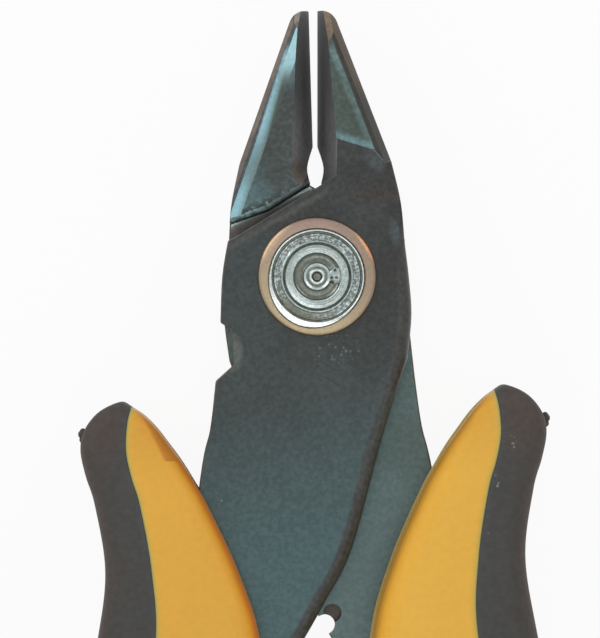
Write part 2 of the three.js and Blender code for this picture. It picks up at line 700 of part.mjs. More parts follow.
function returnSpring(route) {
  const section = new THREE.Shape().absarc(0, 0, WIRE / 2, 0, 2 * Math.PI);
  const wire = { steps: SPRING_STEPS, extrudePath: route, curveSegments: 4, bevelEnabled: false };
  const geometry = new THREE.ExtrudeGeometry(section, wire);
  geometry.translate(0, 0, MIDDLE);
  return solidFrom(geometry);
}

const leftGrip = grip(1, FRONT_TANG, FRONT_FLOOR, FRONT_FACE);
const rightGrip = grip(-1, BACK_TANG, BACK_FACE, BACK_TOP);
const rightMouth = new THREE.Vector2(-rightGrip.mouth.x, rightGrip.mouth.y);
const route = springRoute(leftGrip.mouth, rightMouth);
console.log('return_spring least gap to itself, mm:', leastSelfGap(route).toFixed(2));

const frontHalf = new THREE.Group();
frontHalf.rotation.z = -REST_OPENING / 2;
frontHalf.add(
  meshFrom(frontLever(), 'front_lever', finishes.lever),
  meshFrom(pivotRivet(), 'pivot_rivet', finishes.rivet),
  meshFrom(cupWasher(FRONT_FACE, 1), 'front_cup_washer', finishes.copper),
  meshFrom(cupWasher(BACK_FACE, -1), 'back_cup_washer', finishes.copper),
  meshFrom(leftGrip.core, 'left_grip_core', finishes.core),
  meshFrom(leftGrip.cover, 'left_grip_cover', finishes.cover),
);

const backHalf = new THREE.Group();
backHalf.rotation.z = REST_OPENING / 2;
backHalf.add(
  meshFrom(backLever(), 'back_lever', finishes.lever),
  meshFrom(acrossTheMiddle(rightGrip.core), 'right_grip_core', finishes.core),
  meshFrom(acrossTheMiddle(rightGrip.cover), 'right_grip_cover', finishes.cover),
);

const pliers = new THREE.Group();
pliers.add(frontHalf, backHalf, meshFrom(returnSpring(route), 'return_spring', finishes.spring));

export default pliers;
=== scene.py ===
import math

import bmesh
import bpy
from mathutils import Matrix, Vector
from mathutils.geometry import intersect_point_line
from mathutils.kdtree import KDTree

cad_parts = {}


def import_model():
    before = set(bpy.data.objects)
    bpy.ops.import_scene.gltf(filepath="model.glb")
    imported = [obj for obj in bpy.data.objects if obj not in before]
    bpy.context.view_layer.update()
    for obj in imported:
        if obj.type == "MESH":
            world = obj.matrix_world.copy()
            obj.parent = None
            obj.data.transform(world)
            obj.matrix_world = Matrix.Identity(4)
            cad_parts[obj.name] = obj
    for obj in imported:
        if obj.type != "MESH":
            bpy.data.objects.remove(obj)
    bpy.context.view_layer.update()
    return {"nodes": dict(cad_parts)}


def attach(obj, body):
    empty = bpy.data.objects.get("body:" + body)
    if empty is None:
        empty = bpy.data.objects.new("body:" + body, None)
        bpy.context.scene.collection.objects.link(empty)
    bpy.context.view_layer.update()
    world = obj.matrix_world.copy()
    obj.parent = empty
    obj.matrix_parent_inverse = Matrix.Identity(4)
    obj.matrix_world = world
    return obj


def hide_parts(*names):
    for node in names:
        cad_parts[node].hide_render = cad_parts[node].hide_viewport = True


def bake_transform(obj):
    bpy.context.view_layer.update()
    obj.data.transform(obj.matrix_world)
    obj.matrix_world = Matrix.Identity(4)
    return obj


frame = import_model()

# Sizes shared with the solids, in millimetres on the closed tool
MM = 0.001
HALF_OPENING = math.radians(0.875)
BACK_FACE = 0.35
BACK_TOP = 3.35
MIDDLE = 3.4
FRONT_FACE = 6.45
RIVET_TOP = 6.8
RIVET_HEAD = 3.2
SHANK = 2.4
CUP_OUTSIDE = 3.99
CUP_INSIDE = 3.25
CUP_SINK = 1.05
CUP_FLOOR = 0.45
CUP_BORE = 2.48
HEAD_PLAY = 0.05
JAW_FOOT = 5.0
TIP_FOOT = 15.0
NOTCH_MIDDLE = Vector((0.1, -23.1))
NOTCH_REACH = 1.6
GRIP_THICKNESS = 11.2
HORN_THICKNESS = 9.4
TAIL_THICKNESS = 9.8
HORN_TOP, HORN_FOOT = -8.4, -24.4
TAIL_START, TAIL_END = -100.0, -116.5
END_ROUND = 2.6
SEAT = 0.4
WIRE = 1.2
SPRING_TOP = -30.5
SPRING_BEND = 1.5
SPRING_FOOT_Y = -51.0
SPRING_FOOT_DEPTH = 1.6
SPRING_CORNER = 1.8

# Sizes of the dressing alone, in millimetres
ROLL_WIDTH = 1.0
ROLL_START = 5.2
ROLL_FULL = -1.0
ROLL_END = -27.0
ROLL_LEFT = -4.5
LAP_RIGHT = 3.0
CUP_MARGIN = 0.5
CUP_SEAT = (3.8, 4.1)
SHOULDER_SPAN = (3.0, 7.0)
SHOULDER_ROUND = 0.35
BROKEN_EDGE = 0.09
BROKEN_ANGLE = math.radians(27)
RIDGE_ANGLE = math.radians(15)
ROLL_ANGLE = math.radians(57)
CRESCENT_TURN = math.radians(243)
CRESCENT_WIDTH = 0.27
CRESCENT_RISE = 0.05
TAB_MIDDLE = Vector((1.24, 0.08, RIVET_TOP - 0.34))
TAB_RADII = Vector((0.52, 0.6, 0.24))
SEAM_EDGE = 0.07
INNER_EDGE = 1.5
OUTER_EDGE = 2.8
LEFT_FLASH = 0.05
RIGHT_FLASH = 0.2
FLASH_LEVEL = 0.3
LEFT_GATE = Vector((-15.95, -10.4, MIDDLE))
RIGHT_GATE = Vector((15.25, -9.75, MIDDLE))
GATE_LUMPS = ((0.0, 0.34), (-0.36, 0.26), (0.2, 0.22))
FLOOR_HALF = 1500
FLOOR_GAP = 0.05
SAME_POINT = 1e-5
SOLID_MERGE = 0.002
SOLID_FLAT = math.radians(0.4)

# Tilts that tell a lever's faces apart, as parts of their normals
LEVEL = 0.995
WALL = 0.1
TIP_SLOPE = 0.57
OVERHANG = 0.05
DOWNWARD = -0.5

# Steps along and round the pieces, and the gaps that a grip's rows leave at its ends
TURN_STEPS = 160
ROW_STEPS = 12
ROUND_STEPS = 6
WIRE_STEPS = 16
LEG_STEPS = 24
EDGE_STEPS = 4000
END_GAP = 0.003
CORE_END_GAP = 0.03

# Rows of a grip from the horn to the tail: inner edge, seam and outer edge
GRIP_ROWS = [
    ((12.1, -8.4), (12.1, -8.4), (12.1, -8.4)),
    ((11.25, -8.95), (12.11, -8.47), (12.85, -8.05)),
    ((10.38, -9.8), (12.31, -9.25), (14.26, -8.7)),
    ((9.57, -10.83), (12.43, -10.39), (15.25, -9.95)),
    ((8.78, -11.88), (12.4, -11.57), (15.5, -11.3)),
    ((7.9, -13.27), (12.06, -13.11), (15.15, -13.0)),
    ((6.85, -15.1), (11.46, -15.1), (14.5, -15.1)),
    ((4.8, -19.5), (10.68, -19.5), (13.82, -19.5)),
    ((3.3, -24.4), (10.45, -24.4), (14.4, -24.4)),
    ((2.75, -32.0), (11.7, -32.0), (15.8, -32.0)),
    ((5.3, -45.0), (14.5, -45.0), (18.2, -45.0)),
    ((8.7, -60.0), (17.1, -60.0), (20.4, -60.0)),
    ((10.5, -80.0), (17.9, -80.0), (21.1, -80.0)),
    ((9.9, -100.0), (15.9, -100.0), (19.1, -100.0)),
    ((10.0, -109.0), (10.0, -109.0), (17.6, -109.0)),
    ((11.6, -115.0), (11.6, -115.0), (16.2, -114.6)),
    ((14.2, -116.5), (14.2, -116.5), (14.2, -116.5)),
]
INNER, SEAM, OUTER = range(3)
LAST_ROW = len(GRIP_ROWS) - 1
CORE_LAST_ROW = 14

# Lines in plan that the finishes follow: a point on the line and the direction across it
TO_THE_RIGHT = ((0, 0), (1, 0))
CROTCH_LINE = ((-4.6, 0), (1, 0))
PLATE_LINE = ((0, -1.5), (0.15, -1))
LAP_LINE = ((-3.64, 3.3), (-0.486, 0.874))
SLOT_LINE = ((-4.452, 4.128), (0.409, -0.9125))
SHOULDER_LINE = ((-4.78, 4.29), (-0.376, 0.9266))
STRIP_INNER_LINE = ((-3.22, 9.24), (0.9565, -0.2915))
STRIP_OUTER_LINE = ((-3.246, 11.279), (0.9624, -0.2719))
LEFT_BORDER_LINE = ((-3.371, 11.152), (0.9496, -0.3146))
LEFT_FACE_LINE = ((-3.2, 8.2), (-0.85, -0.52))
RIGHT_BORDER_LINE = ((3.42, 8.86), (0.93, 0.367))
WHEEL_END_LINE = ((1.54, 8.97), (0.3, 0.954))
HORN_SHADE_LINE = ((-11.71, -9.8), (0.9006, 0.4348))

# Places of small marks in plan
PLATE_DUST = (0.9, -4.9)
GRIP_DUST = ((13.1, -10.9), (11.75, -13.85), (11.25, -16.5))
TAB_PLACE = (1.3, 0.1)
TAB_DOTS = ((0.99, -0.08), (1.29, -0.08), (1.02, -0.36), (1.2, 0.42))
LEFT_TIP_END = (-1.2, 17.5)

# Patches of the front plate, partly uneven finish and partly painted highlight: place, radii, slant in
# degrees and colour
PLATE_PATCHES = [
    ((4.5, 5.4), (3.0, 0.7), -6, (0.057, 0.051, 0.048)),
    ((4.0, 7.7), (1.2, 0.6), -50, (0.068, 0.078, 0.078)),
    ((5.25, 2.9), (1.2, 0.5), -80, (0.068, 0.080, 0.084)),
    ((-5.7, 1.8), (0.9, 1.8), 0, (0.068, 0.070, 0.064)),
    ((-4.6, -1.5), (3.4, 9.0), 0, (0.052, 0.065, 0.063)),
    ((-5.7, -5.0), (0.8, 1.6), 0, (0.105, 0.118, 0.107)),
]

# Colours of the rolled edge from its level side to its upright one: painted light, lighter and bluer as the
# edge turns away from the lamps
ROLL_BANDS = [
    (0.0, (0.066, 0.075, 0.073)), (0.06, (0.078, 0.085, 0.083)), (0.16, (0.091, 0.107, 0.114)),
    (0.27, (0.111, 0.142, 0.165)), (0.42, (0.125, 0.178, 0.230)), (0.7, (0.130, 0.195, 0.250)),
]

# Colours down the slot under the left jaw's shoulder, by millimetres: painted light against the slot's shade,
# pale at the shoulder's foot
SLOT_BANDS = [
    (0.0, (0.75, 0.92, 0.86)), (0.06, (0.45, 0.56, 0.52)), (0.15, (0.22, 0.26, 0.24)),
    (0.3, (0.16, 0.155, 0.148)), (0.6, (0.145, 0.135, 0.13)),
]

# Colours across the bright strip from its outer edge, by millimetres: a painted highlight that fades into the
# ground face
STRIP_BANDS = [
    (0.0, (0.135, 0.222, 0.258)), (0.14, (0.124, 0.215, 0.243)), (0.35, (0.092, 0.162, 0.168)),
    (0.5, (0.062, 0.090, 0.087)), (0.6, (0.036, 0.046, 0.042)),
]

# Colours of the rivet's lands and grooves, by shares of a radius in millimetres: partly the turned tone,
# partly painted highlight on the lands and painted shade in the grooves
RING_REACH = 4.0
LAND, PALE, GREY = (0.60, 0.68, 0.66), (0.35, 0.405, 0.385), (0.18, 0.205, 0.19)
DULL, GROOVE = (0.150, 0.168, 0.147), (0.154, 0.164, 0.140)
RING_BANDS = [
    (0.06, GROOVE), (0.085, DULL), (0.11, LAND), (0.13, LAND), (0.155, DULL), (0.18, DULL), (0.21, LAND),
    (0.25, PALE), (0.265, DULL), (0.3, GROOVE), (0.39, DULL), (0.41, LAND), (0.435, PALE), (0.53, PALE),
    (0.552, GREY), (0.562, GROOVE), (0.572, PALE), (0.59, LAND), (0.605, PALE), (0.62, GREY), (0.73, GREY),
    (0.742, GROOVE), (0.757, DULL), (0.772, LAND),
]

# Painted orange highlight on the cup's outer edge: its direction, where it starts and its colour
CUP_HIGHLIGHTS = (
    ((0.86, 0.51), 3.6, (0.86, 0.42, 0.22)),
    ((-0.78, 0.62), 3.3, (0.60, 0.43, 0.28)),
)
CUP_HIGHLIGHT_END = 3.97

# Colours of a moulding from its long edge inward and from its seam, by shares of a reach in millimetres
SEAM_REACH = 0.6
YELLOW_REACH = 2.0
# The yellow's darker orange toward its inner long edge is painted shade of the rounded edge; the olive band
# at the right grip's very edge is its flash.
LEFT_YELLOW = [
    (0.0, (0.56, 0.220, 0.050)), (0.065, (0.59, 0.205, 0.042)), (0.135, (0.64, 0.220, 0.028)),
    (0.2, (0.72, 0.270, 0.028)), (0.27, (0.745, 0.335, 0.028)), (0.335, (0.76, 0.368, 0.036)),
    (0.54, (0.765, 0.390, 0.054)), (0.9, (0.755, 0.402, 0.058)),
]
RIGHT_YELLOW = [
    (0.0, (0.52, 0.44, 0.17)), (0.065, (0.52, 0.385, 0.105)), (0.12, (0.46, 0.25, 0.042)),
    (0.2, (0.61, 0.305, 0.042)), (0.27, (0.70, 0.355, 0.042)), (0.335, (0.77, 0.40, 0.038)),
    (0.4, (0.785, 0.41, 0.043)), (0.67, (0.80, 0.435, 0.053)), (1.0, (0.80, 0.447, 0.066)),
]
YELLOW_SEAM = [
    (0.0, (0.35, 0.29, 0.10)), (0.22, (0.53, 0.405, 0.093)), (0.45, (0.66, 0.41, 0.068)),
    (1.0, (0.78, 0.42, 0.06)),
]
BLACK_REACH = 3.0
BLACK = [
    (0.0, (0.092, 0.076, 0.067)), (0.09, (0.080, 0.066, 0.059)), (0.27, (0.065, 0.060, 0.055)),
    (0.6, (0.064, 0.063, 0.060)),
]
BLACK_SEAM = [(0.0, (0.066, 0.072, 0.070)), (1.0, (0.067, 0.070, 0.068))]

# Picture: its rows, the cup's width in it, and the camera's place over the tool
PICTURE_ROWS = 638
CUP_PIXELS = 119
CUP_WIDTH = 8.0
CAMERA_X, CAMERA_Y = -1.19, -2.83
CAMERA_TURN = math.radians(-0.85)
CAMERA_DISTANCE = 0.8
FILM_WIDTH = 36

# Light: the world's strength, and each lamp's place, aim, width and height in metres and its radiance
WORLD_LIGHT = 0.78
LAMPS = {
    "upper_left_box": ((-0.33, 0.27, 0.29), (0, 0, 0), 0.22, 0.22, 4.0),
    "upper_right_box": ((0.30, 0.28, 0.34), (0, 0, 0), 0.2, 0.2, 2.4),
    "low_overhead_box": ((0.0, -0.16, 0.62), (0, -0.01, 0), 0.34, 0.26, 1.4),
}

REST = {
    "front_half": Matrix.Rotation(-HALF_OPENING, 4, "Z"),
    "back_half": Matrix.Rotation(HALF_OPENING, 4, "Z"),
}


# Mesh helpers

def mesh_object(name, bm, materials):
    """Object from a finished bmesh in millimetres, on the tool at rest."""
    bmesh.ops.transform(bm, matrix=Matrix.Scale(MM, 4), verts=bm.verts)
    mesh = bpy.data.meshes.new(name)
    bm.to_mesh(mesh)
    bm.free()
    for material in materials:
        mesh.materials.append(material)
    made = bpy.data.objects.new(name, mesh)
    bpy.context.scene.collection.objects.link(made)
    return made


def dressed(node, bm, body, materials, sharp):
    """Piece in a node's place, riding on a body, smooth but for edges above an angle in degrees."""
    made = mesh_object(node + "_dressed", bm, materials)
    if body:
        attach(made, body)
    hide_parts(node)
    made.data.shade_smooth()
    made.data.set_sharp_from_angle(angle=math.radians(sharp))
    return made


def ease(value, low, high):
    """Smooth rise from 0 to 1 between two values."""
    share = min(max((value - low) / (high - low), 0.0), 1.0)
    return share * share * (3 - 2 * share)


def spline(points, along):
    """Point on an evenly stepped smooth curve through the points, from 0 to 1."""
    last = len(points) - 1
    place = min(max(along, 0.0), 1.0) * last
    i = min(int(place), last)
    w = place - i
    p0 = Vector(points[max(i - 1, 0)])
    p1 = Vector(points[i])
    p2 = Vector(points[min(i + 1, last)])
    p3 = Vector(points[min(i + 2, last)])
    v0 = (p2 - p0) * 0.5
    v1 = (p3 - p1) * 0.5
    cubic = (p1 * 2 - p2 * 2 + v0 + v1) * w ** 3
    square = (p2 * 3 - p1 * 3 - v0 * 2 - v1) * w ** 2
    return cubic + square + v0 * w + p1


def skin(bm, rings):
    """Closed body through rings of points, each extruded from the ring before it."""
    order = bm.verts.layers.int.new("order")
    corners = [bm.verts.new(point) for point in rings[0]]
    for k, corner in enumerate(corners):
        corner[order] = k
    cap = bm.faces.new(corners)
    start = bmesh.ops.duplicate(bm, geom=[cap])["geom"]
    bmesh.ops.reverse_faces(bm, faces=[f for f in start if isinstance(f, bmesh.types.BMFace)])
    for ring in rings[1:]:
        grown = bmesh.ops.extrude_face_region(bm, geom=[cap])["geom"]
        bmesh.ops.delete(bm, geom=[cap], context="FACES_ONLY")
        cap = next(f for f in grown if isinstance(f, bmesh.types.BMFace))
        for corner in cap.verts:
            corner.co = ring[corner[order]]
    bmesh.ops.remove_doubles(bm, verts=bm.verts, dist=SAME_POINT)
    bmesh.ops.recalc_face_normals(bm, faces=bm.faces)


def spun(profile):
    """Turned body from radius and level pairs that start and end on the axis or close on themselves."""
    bm = bmesh.new()
    verts = [bm.verts.new((radius, 0, level)) for radius, level in profile]
    edges = [bm.edges.new(pair) for pair in zip(verts, verts[1:])]
    bmesh.ops.spin(
        bm, geom=verts + edges, axis=(0, 0, 1), cent=(0, 0, 0),
        steps=TURN_STEPS, angle=math.tau, use_merge=True,
    )
    bmesh.ops.remove_doubles(bm, verts=bm.verts, dist=SAME_POINT)
    bmesh.ops.recalc_face_normals(bm, faces=bm.faces)
    return bm


def rounded(bm, edges, width, segments):
    """Rounds edges and gives the new faces."""
    made = bmesh.ops.bevel(
        bm, geom=edges, offset=width, offset_type="OFFSET", affect="EDGES", segments=segments,
        profile=0.5, material=-1, clamp_overlap=False,
    )
    return made["faces"]


# Shader helpers

def node_group(name, inputs, outputs):
    group = bpy.data.node_groups.new(name, "ShaderNodeTree")
    for label, value in inputs.items():
        socket = group.interface.new_socket(label, in_out="INPUT", socket_type="NodeSocketFloat")
        socket.default_value = value
    for label in outputs:
        group.interface.new_socket(label, in_out="OUTPUT", socket_type="NodeSocketFloat")
    return group, group.nodes.new("NodeGroupInput"), group.nodes.new("NodeGroupOutput")


def feed(tree, socket, value):
    """Gives a socket a number, a colour or another node's output."""
    if isinstance(value, (int, float)):
        socket.default_value = value
    elif isinstance(value, tuple):
        socket.default_value = (*value, 1)
    else:
        tree.links.new(value, socket)


def math_node(tree, operation, *values):
    made = tree.nodes.new("ShaderNodeMath")
    made.operation = operation
    for socket, value in zip(made.inputs, values):
        feed(tree, socket, value)
    return made.outputs[0]


def product(tree, first, *others):
    for other in others:
        first = math_node(tree, "MULTIPLY", first, other)
    return first


def noise(tree, coordinate, scale, detail=2.0, roughness=0.5):
    made = tree.nodes.new("ShaderNodeTexNoise")
    tree.links.new(coordinate, made.inputs["Vector"])
    feed(tree, made.inputs["Scale"], scale)
    made.inputs["Detail"].default_value = detail
    made.inputs["Roughness"].default_value = roughness
    return made.outputs["Fac"]


def ramp(tree, value, low, high):
    """Smooth rise from 0 to 1 between two values, the other way round where the first is the higher."""
    made = tree.nodes.new("ShaderNodeMapRange")
    made.interpolation_type = "SMOOTHSTEP"
    tree.links.new(value, made.inputs["Value"])
    made.inputs["From Min"].default_value = low
    made.inputs["From Max"].default_value = high
    return made.outputs["Result"]


def mix_colour(tree, mask, first, second, blend="MIX"):
    made = tree.nodes.new("ShaderNodeMix")
    made.data_type = "RGBA"
    made.blend_type = blend
    for label, value in (("Factor", mask), ("A", first), ("B", second)):
        feed(tree, made.inputs[label], value)
    return made.outputs["Result"]


def multiplied(tree, first, second):
    return mix_colour(tree, 1.0, first, second, "MULTIPLY")


def colour_bands(tree, value, bands):
    """Colour that changes along a value, from pairs of a place between 0 and 1 and a colour."""
    made = tree.nodes.new("ShaderNodeValToRGB")
    tree.links.new(value, made.inputs["Fac"])
    stops = made.color_ramp.elements
    while len(stops) < len(bands):
        stops.new(1.0)
    for stop, (place, colour) in zip(stops, bands):
        stop.position = place
        stop.color = (*colour, 1)
    return made.outputs["Color"]


def attribute(tree, name):
    made = tree.nodes.new("ShaderNodeAttribute")
    made.attribute_name = name
    return made.outputs["Fac"]


def object_place(tree):
    return tree.nodes.new("ShaderNodeTexCoord").outputs["Object"]


def separated(tree, vector):
    made = tree.nodes.new("ShaderNodeSeparateXYZ")
    tree.links.new(vector, made.inputs["Vector"])
    return made.outputs


def steepness(tree):
    """0 on level faces, 1 on walls that stand upright."""
    normal = separated(tree, tree.nodes.new("ShaderNodeTexCoord").outputs["Normal"])
    return math_node(tree, "SUBTRACT", 1.0, math_node(tree, "ABSOLUTE", normal["Z"]))


def past_line(tree, point, toward):
    """Distance past a line in plan, in millimetres, on the side that a direction shows."""
    toward = Vector((*toward, 0)).normalized()
    made = tree.nodes.new("ShaderNodeVectorMath")
    made.operation = "DOT_PRODUCT"
    tree.links.new(object_place(tree), made.inputs[0])
    made.inputs[1].default_value = toward / MM
    return math_node(tree, "SUBTRACT", made.outputs["Value"], toward.dot(Vector((*point, 0))))


def past(tree, line, low, high):
    """Mask that rises between two distances past a line."""
    return ramp(tree, past_line(tree, *line), low, high)


def above(tree, level, rise):
    """Mask that rises along the tool toward the jaws, from a level on."""
    return past(tree, ((0, level), (0, 1)), 0, rise)


def below(tree, level, fall):
    """Mask that rises along the tool toward the grips, from a level on."""
    return past(tree, ((0, level), (0, -1)), 0, fall)


def make_mottle():
    """Uneven finish: broad clouds, fine mottle and a grain height."""
    tree, given, put = node_group(
        "uneven_finish", {"Cloud Scale": 300, "Mottle Scale": 3500, "Grain Scale": 9000},
        ["Cloud", "Mottle", "Height"],
    )
    place = object_place(tree)
    tree.links.new(noise(tree, place, given.outputs["Cloud Scale"], 3), put.inputs["Cloud"])
    mottle = noise(tree, place, given.outputs["Mottle Scale"], 3, 0.6)
    tree.links.new(mottle, put.inputs["Mottle"])
    grain = noise(tree, place, given.outputs["Grain Scale"], 2)
    tree.links.new(math_node(tree, "MULTIPLY_ADD", mottle, 0.6, grain), put.inputs["Height"])
    return tree


def make_specks():
    """Sparse specks: round dots in a few of the cells."""
    tree, given, put = node_group(
        "bright_specks", {"Scale": 700, "Size": 0.12, "Share": 0.2}, ["Mask"],
    )
    cells = tree.nodes.new("ShaderNodeTexVoronoi")
    tree.links.new(object_place(tree), cells.inputs["Vector"])
    tree.links.new(given.outputs["Scale"], cells.inputs["Scale"])
    apart = tree.nodes.new("ShaderNodeSeparateColor")
    tree.links.new(cells.outputs["Color"], apart.inputs["Color"])
    size = math_node(tree, "MULTIPLY", apart.outputs["Green"], given.outputs["Size"])
    near = math_node(tree, "LESS_THAN", cells.outputs["Distance"], size)
    few = math_node(tree, "LESS_THAN", apart.outputs["Red"], given.outputs["Share"])
    tree.links.new(product(tree, near, few), put.inputs["Mask"])
    return tree


def make_scratches():
    """Sparse fine scratches: thin threads of a noise that is drawn out to one side."""
    tree, given, put = node_group("fine_scratches", {"Scale": 420, "Slant": 0.6}, ["Mask"])
    turned = tree.nodes.new("ShaderNodeVectorRotate")
    turned.rotation_type = "Z_AXIS"
    tree.links.new(object_place(tree), turned.inputs["Vector"])
    tree.links.new(given.outputs["Slant"], turned.inputs["Angle"])
    drawn = tree.nodes.new("ShaderNodeVectorMath")
    drawn.operation = "MULTIPLY"
    drawn.inputs[1].default_value = (0.12, 1.0, 1.0)
    tree.links.new(turned.outputs["Vector"], drawn.inputs[0])
    thread = noise(tree, drawn.outputs["Vector"], given.outputs["Scale"], 1)
    off_middle = math_node(tree, "ABSOLUTE", math_node(tree, "SUBTRACT", thread, 0.5))
    thin = ramp(tree, off_middle, 0.006, 0.0)
    few = ramp(tree, noise(tree, object_place(tree), 240.0, 1), 0.6, 0.68)
    tree.links.new(product(tree, thin, few), put.inputs["Mask"])
    return tree


MOTTLE = make_mottle()
SPECKS = make_specks()
SCRATCHES = make_scratches()


def use(tree, group, **values):
    made = tree.nodes.new("ShaderNodeGroup")
    made.node_tree = group
    for label, value in values.items():
        made.inputs[label.replace("_", " ")].default_value = value
    return made.outputs


def finish(name, metallic=0.0, roughness=0.5, specular=0.5):
    """Material with its shader, ready for the nodes of one finish."""
    made = bpy.data.materials.new(name)
    made.use_nodes = True
    tree = made.node_tree
    shader = tree.nodes["Principled BSDF"]
    shader.inputs["Metallic"].default_value = metallic
    shader.inputs["Roughness"].default_value = roughness
    shader.inputs["Specular IOR Level"].default_value = specular
    return made, tree, shader


def bump(tree, shader, height, strength, depth=0.02):
    """Fine relief on a finish, with its depth in millimetres."""
    made = tree.nodes.new("ShaderNodeBump")
    made.inputs["Strength"].default_value = strength
    made.inputs["Distance"].default_value = depth * MM
    tree.links.new(height, made.inputs["Height"])
    tree.links.new(made.outputs["Normal"], shader.inputs["Normal"])


def patch(tree, colour, place, radii, slant, second):
    """Colour that changes softly into another round a place in plan, in an oval that leans by an angle."""
    lean = math.radians(slant)
    along = past_line(tree, place, (math.cos(lean), math.sin(lean)))
    across = past_line(tree, place, (-math.sin(lean), math.cos(lean)))
    shares = [math_node(tree, "DIVIDE", value, radius) for value, radius in zip((along, across), radii)]
    squares = [product(tree, value, value) for value in shares]
    return mix_colour(tree, ramp(tree, math_node(tree, "ADD", *squares), 1.0, 0.0), colour, second)


def speckled(tree, colour, place, radii, second):
    """Colour with small dots of another in an oval round a place in plan."""
    dots = use(tree, SPECKS, Scale=3800.0, Size=0.42, Share=0.9)
    dotted = mix_colour(tree, dots["Mask"], colour, second)
    return patch(tree, colour, place, radii, 0, dotted)


# Finishes of the levers

def steel_finish(name, dark, light, metallic, gloss, share=0.05, tint=None):
    """Oxide or ground steel: clouded colour, mottle, specks, scratches, uneven gloss and a fine grain."""
    made, tree, shader = finish(name, metallic)
    uneven = use(tree, MOTTLE, Cloud_Scale=260.0, Mottle_Scale=3200.0, Grain_Scale=8000.0)
    dots = use(tree, SPECKS, Scale=900.0, Size=0.1, Share=share)
    scratches = use(tree, SCRATCHES, Scale=420.0, Slant=0.6)
    colour = mix_colour(tree, ramp(tree, uneven["Cloud"], 0.35, 0.65), dark, light)
    if tint:
        colour = tint(tree, colour, uneven)
    fine = mix_colour(tree, ramp(tree, uneven["Mottle"], 0.3, 0.75), (0.8,) * 3, (1.2,) * 3)
    faint = math_node(tree, "MULTIPLY", scratches["Mask"], 0.4)
    fine = mix_colour(tree, math_node(tree, "MAXIMUM", dots["Mask"], faint), fine, (2.2,) * 3)
    tree.links.new(multiplied(tree, colour, fine), shader.inputs["Base Color"])
    rough = tree.nodes.new("ShaderNodeMapRange")
    tree.links.new(uneven["Mottle"], rough.inputs["Value"])
    rough.inputs["From Min"].default_value = 0.25
    rough.inputs["From Max"].default_value = 0.75
    rough.inputs["To Min"].default_value = gloss
    rough.inputs["To Max"].default_value = gloss + 0.12
    tree.links.new(rough.outputs["Result"], shader.inputs["Roughness"])
    bump(tree, shader, uneven["Height"], 0.12)
    return made


def worn_plate_and_painted_roll(tree, colour, uneven):
    """Bluer toward the grips, with patches of uneven finish and painted highlight, dust, a pale ridge at the
    lap, and painted light and shade on the rolled edge.
    """
    colour = mix_colour(tree, past(tree, PLATE_LINE, 0, 20), colour, (0.066, 0.108, 0.112))
    for place, radii, slant, second in PLATE_PATCHES:
        colour = patch(tree, colour, place, radii, slant, second)
    colour = speckled(tree, colour, PLATE_DUST, (2.6, 1.3), (0.105, 0.115, 0.115))
    from_lap = math_node(tree, "ABSOLUTE", past_line(tree, *LAP_LINE))
    ridge = product(tree, ramp(tree, from_lap, 0.34, 0.0), past(tree, TO_THE_RIGHT, 1.6, -0.4))
    colour = mix_colour(tree, ridge, colour, (0.082, 0.084, 0.078))
    # The rolled edge is painted by its slope low down, as painted light, and dark neutral nearer the head, as
    # painted shade.
    by_slope = colour_bands(tree, steepness(tree), ROLL_BANDS)
    rolled = mix_colour(tree, below(tree, -5.5, 3.5), (0.072, 0.072, 0.067), by_slope)
    return mix_colour(tree, ramp(tree, attribute(tree, "roll"), 0.0, 0.3), colour, rolled)


def lightened_slot(tree, colour, uneven):
    """Lighter low down; in the slot, painted light against its shade: pale at the foot of the jaw's shoulder
    and brown below.
    """
    colour = mix_colour(tree, below(tree, -10, 8), colour, (0.105, 0.157, 0.156))
    slot = colour_bands(tree, past_line(tree, *SLOT_LINE), SLOT_BANDS)
    return mix_colour(tree, above(tree, -2, 2), colour, slot)


def torn_edge(tree, colour, uneven):
    """Torn by the grinding wheel, and darker toward the crotch."""
    colour = mix_colour(tree, ramp(tree, uneven["Mottle"], 0.4, 0.6), (0.085, 0.125, 0.12), colour)
    return mix_colour(tree, past(tree, CROTCH_LINE, 0, 2.2), colour, (0.085, 0.112, 0.115))


def painted_highlight_strip(tree, colour, uneven):
    """Painted highlight on the ground facet: brightest at the jaw's tip, less so at the root, and fading into
    the flat ground face beside it.
    """
    colour = mix_colour(tree, above(tree, 11.5, 4), colour, (0.172, 0.285, 0.307))
    colour = mix_colour(tree, below(tree, 7.5, 2.5), colour, (0.128, 0.228, 0.258))
    below_tip = below(tree, 14.5, 2.0)
    inner = product(tree, past(tree, STRIP_INNER_LINE, -0.7, -0.02), below_tip)
    colour = mix_colour(tree, inner, colour, (0.070, 0.092, 0.092))
    across = colour_bands(tree, past_line(tree, *STRIP_OUTER_LINE), STRIP_BANDS)
    return mix_colour(tree, product(tree, below_tip, above(tree, 7.6, 3.0)), colour, across)


def lit_border(tree, colour, uneven):
    """Painted highlight beside the strip, along the upper part of the jaw."""
    beside = past(tree, LEFT_BORDER_LINE, -0.05, 0.12)
    lit = product(tree, beside, above(tree, 7.6, 2.4), below(tree, 16.0, 1.2))
    return mix_colour(tree, lit, colour, (0.25, 0.40, 0.46))


def pale_end(tree, colour, uneven):
    """A paler patch at the end of the left tip."""
    return patch(tree, colour, LEFT_TIP_END, (0.75, 0.4), 55, (0.30, 0.265, 0.225))


def rough_shoulder(tree, colour, uneven):
    """Bluer toward the outer side and the shoulder, with torn light marks along the shoulder."""
    colour = mix_colour(tree, past(tree, LEFT_FACE_LINE, 0, 2.6), colour, (0.105, 0.165, 0.172))
    colour = mix_colour(tree, above(tree, 12.2, 2.2), colour, (0.135, 0.205, 0.215))
    torn = ramp(tree, uneven["Mottle"], 0.5, 0.62)
    light = mix_colour(tree, torn, (0.050, 0.058, 0.056), (0.17, 0.24, 0.23))
    return mix_colour(tree, product(tree, past(tree, SHOULDER_LINE, 0.6, 0.1), 0.8), colour, light)


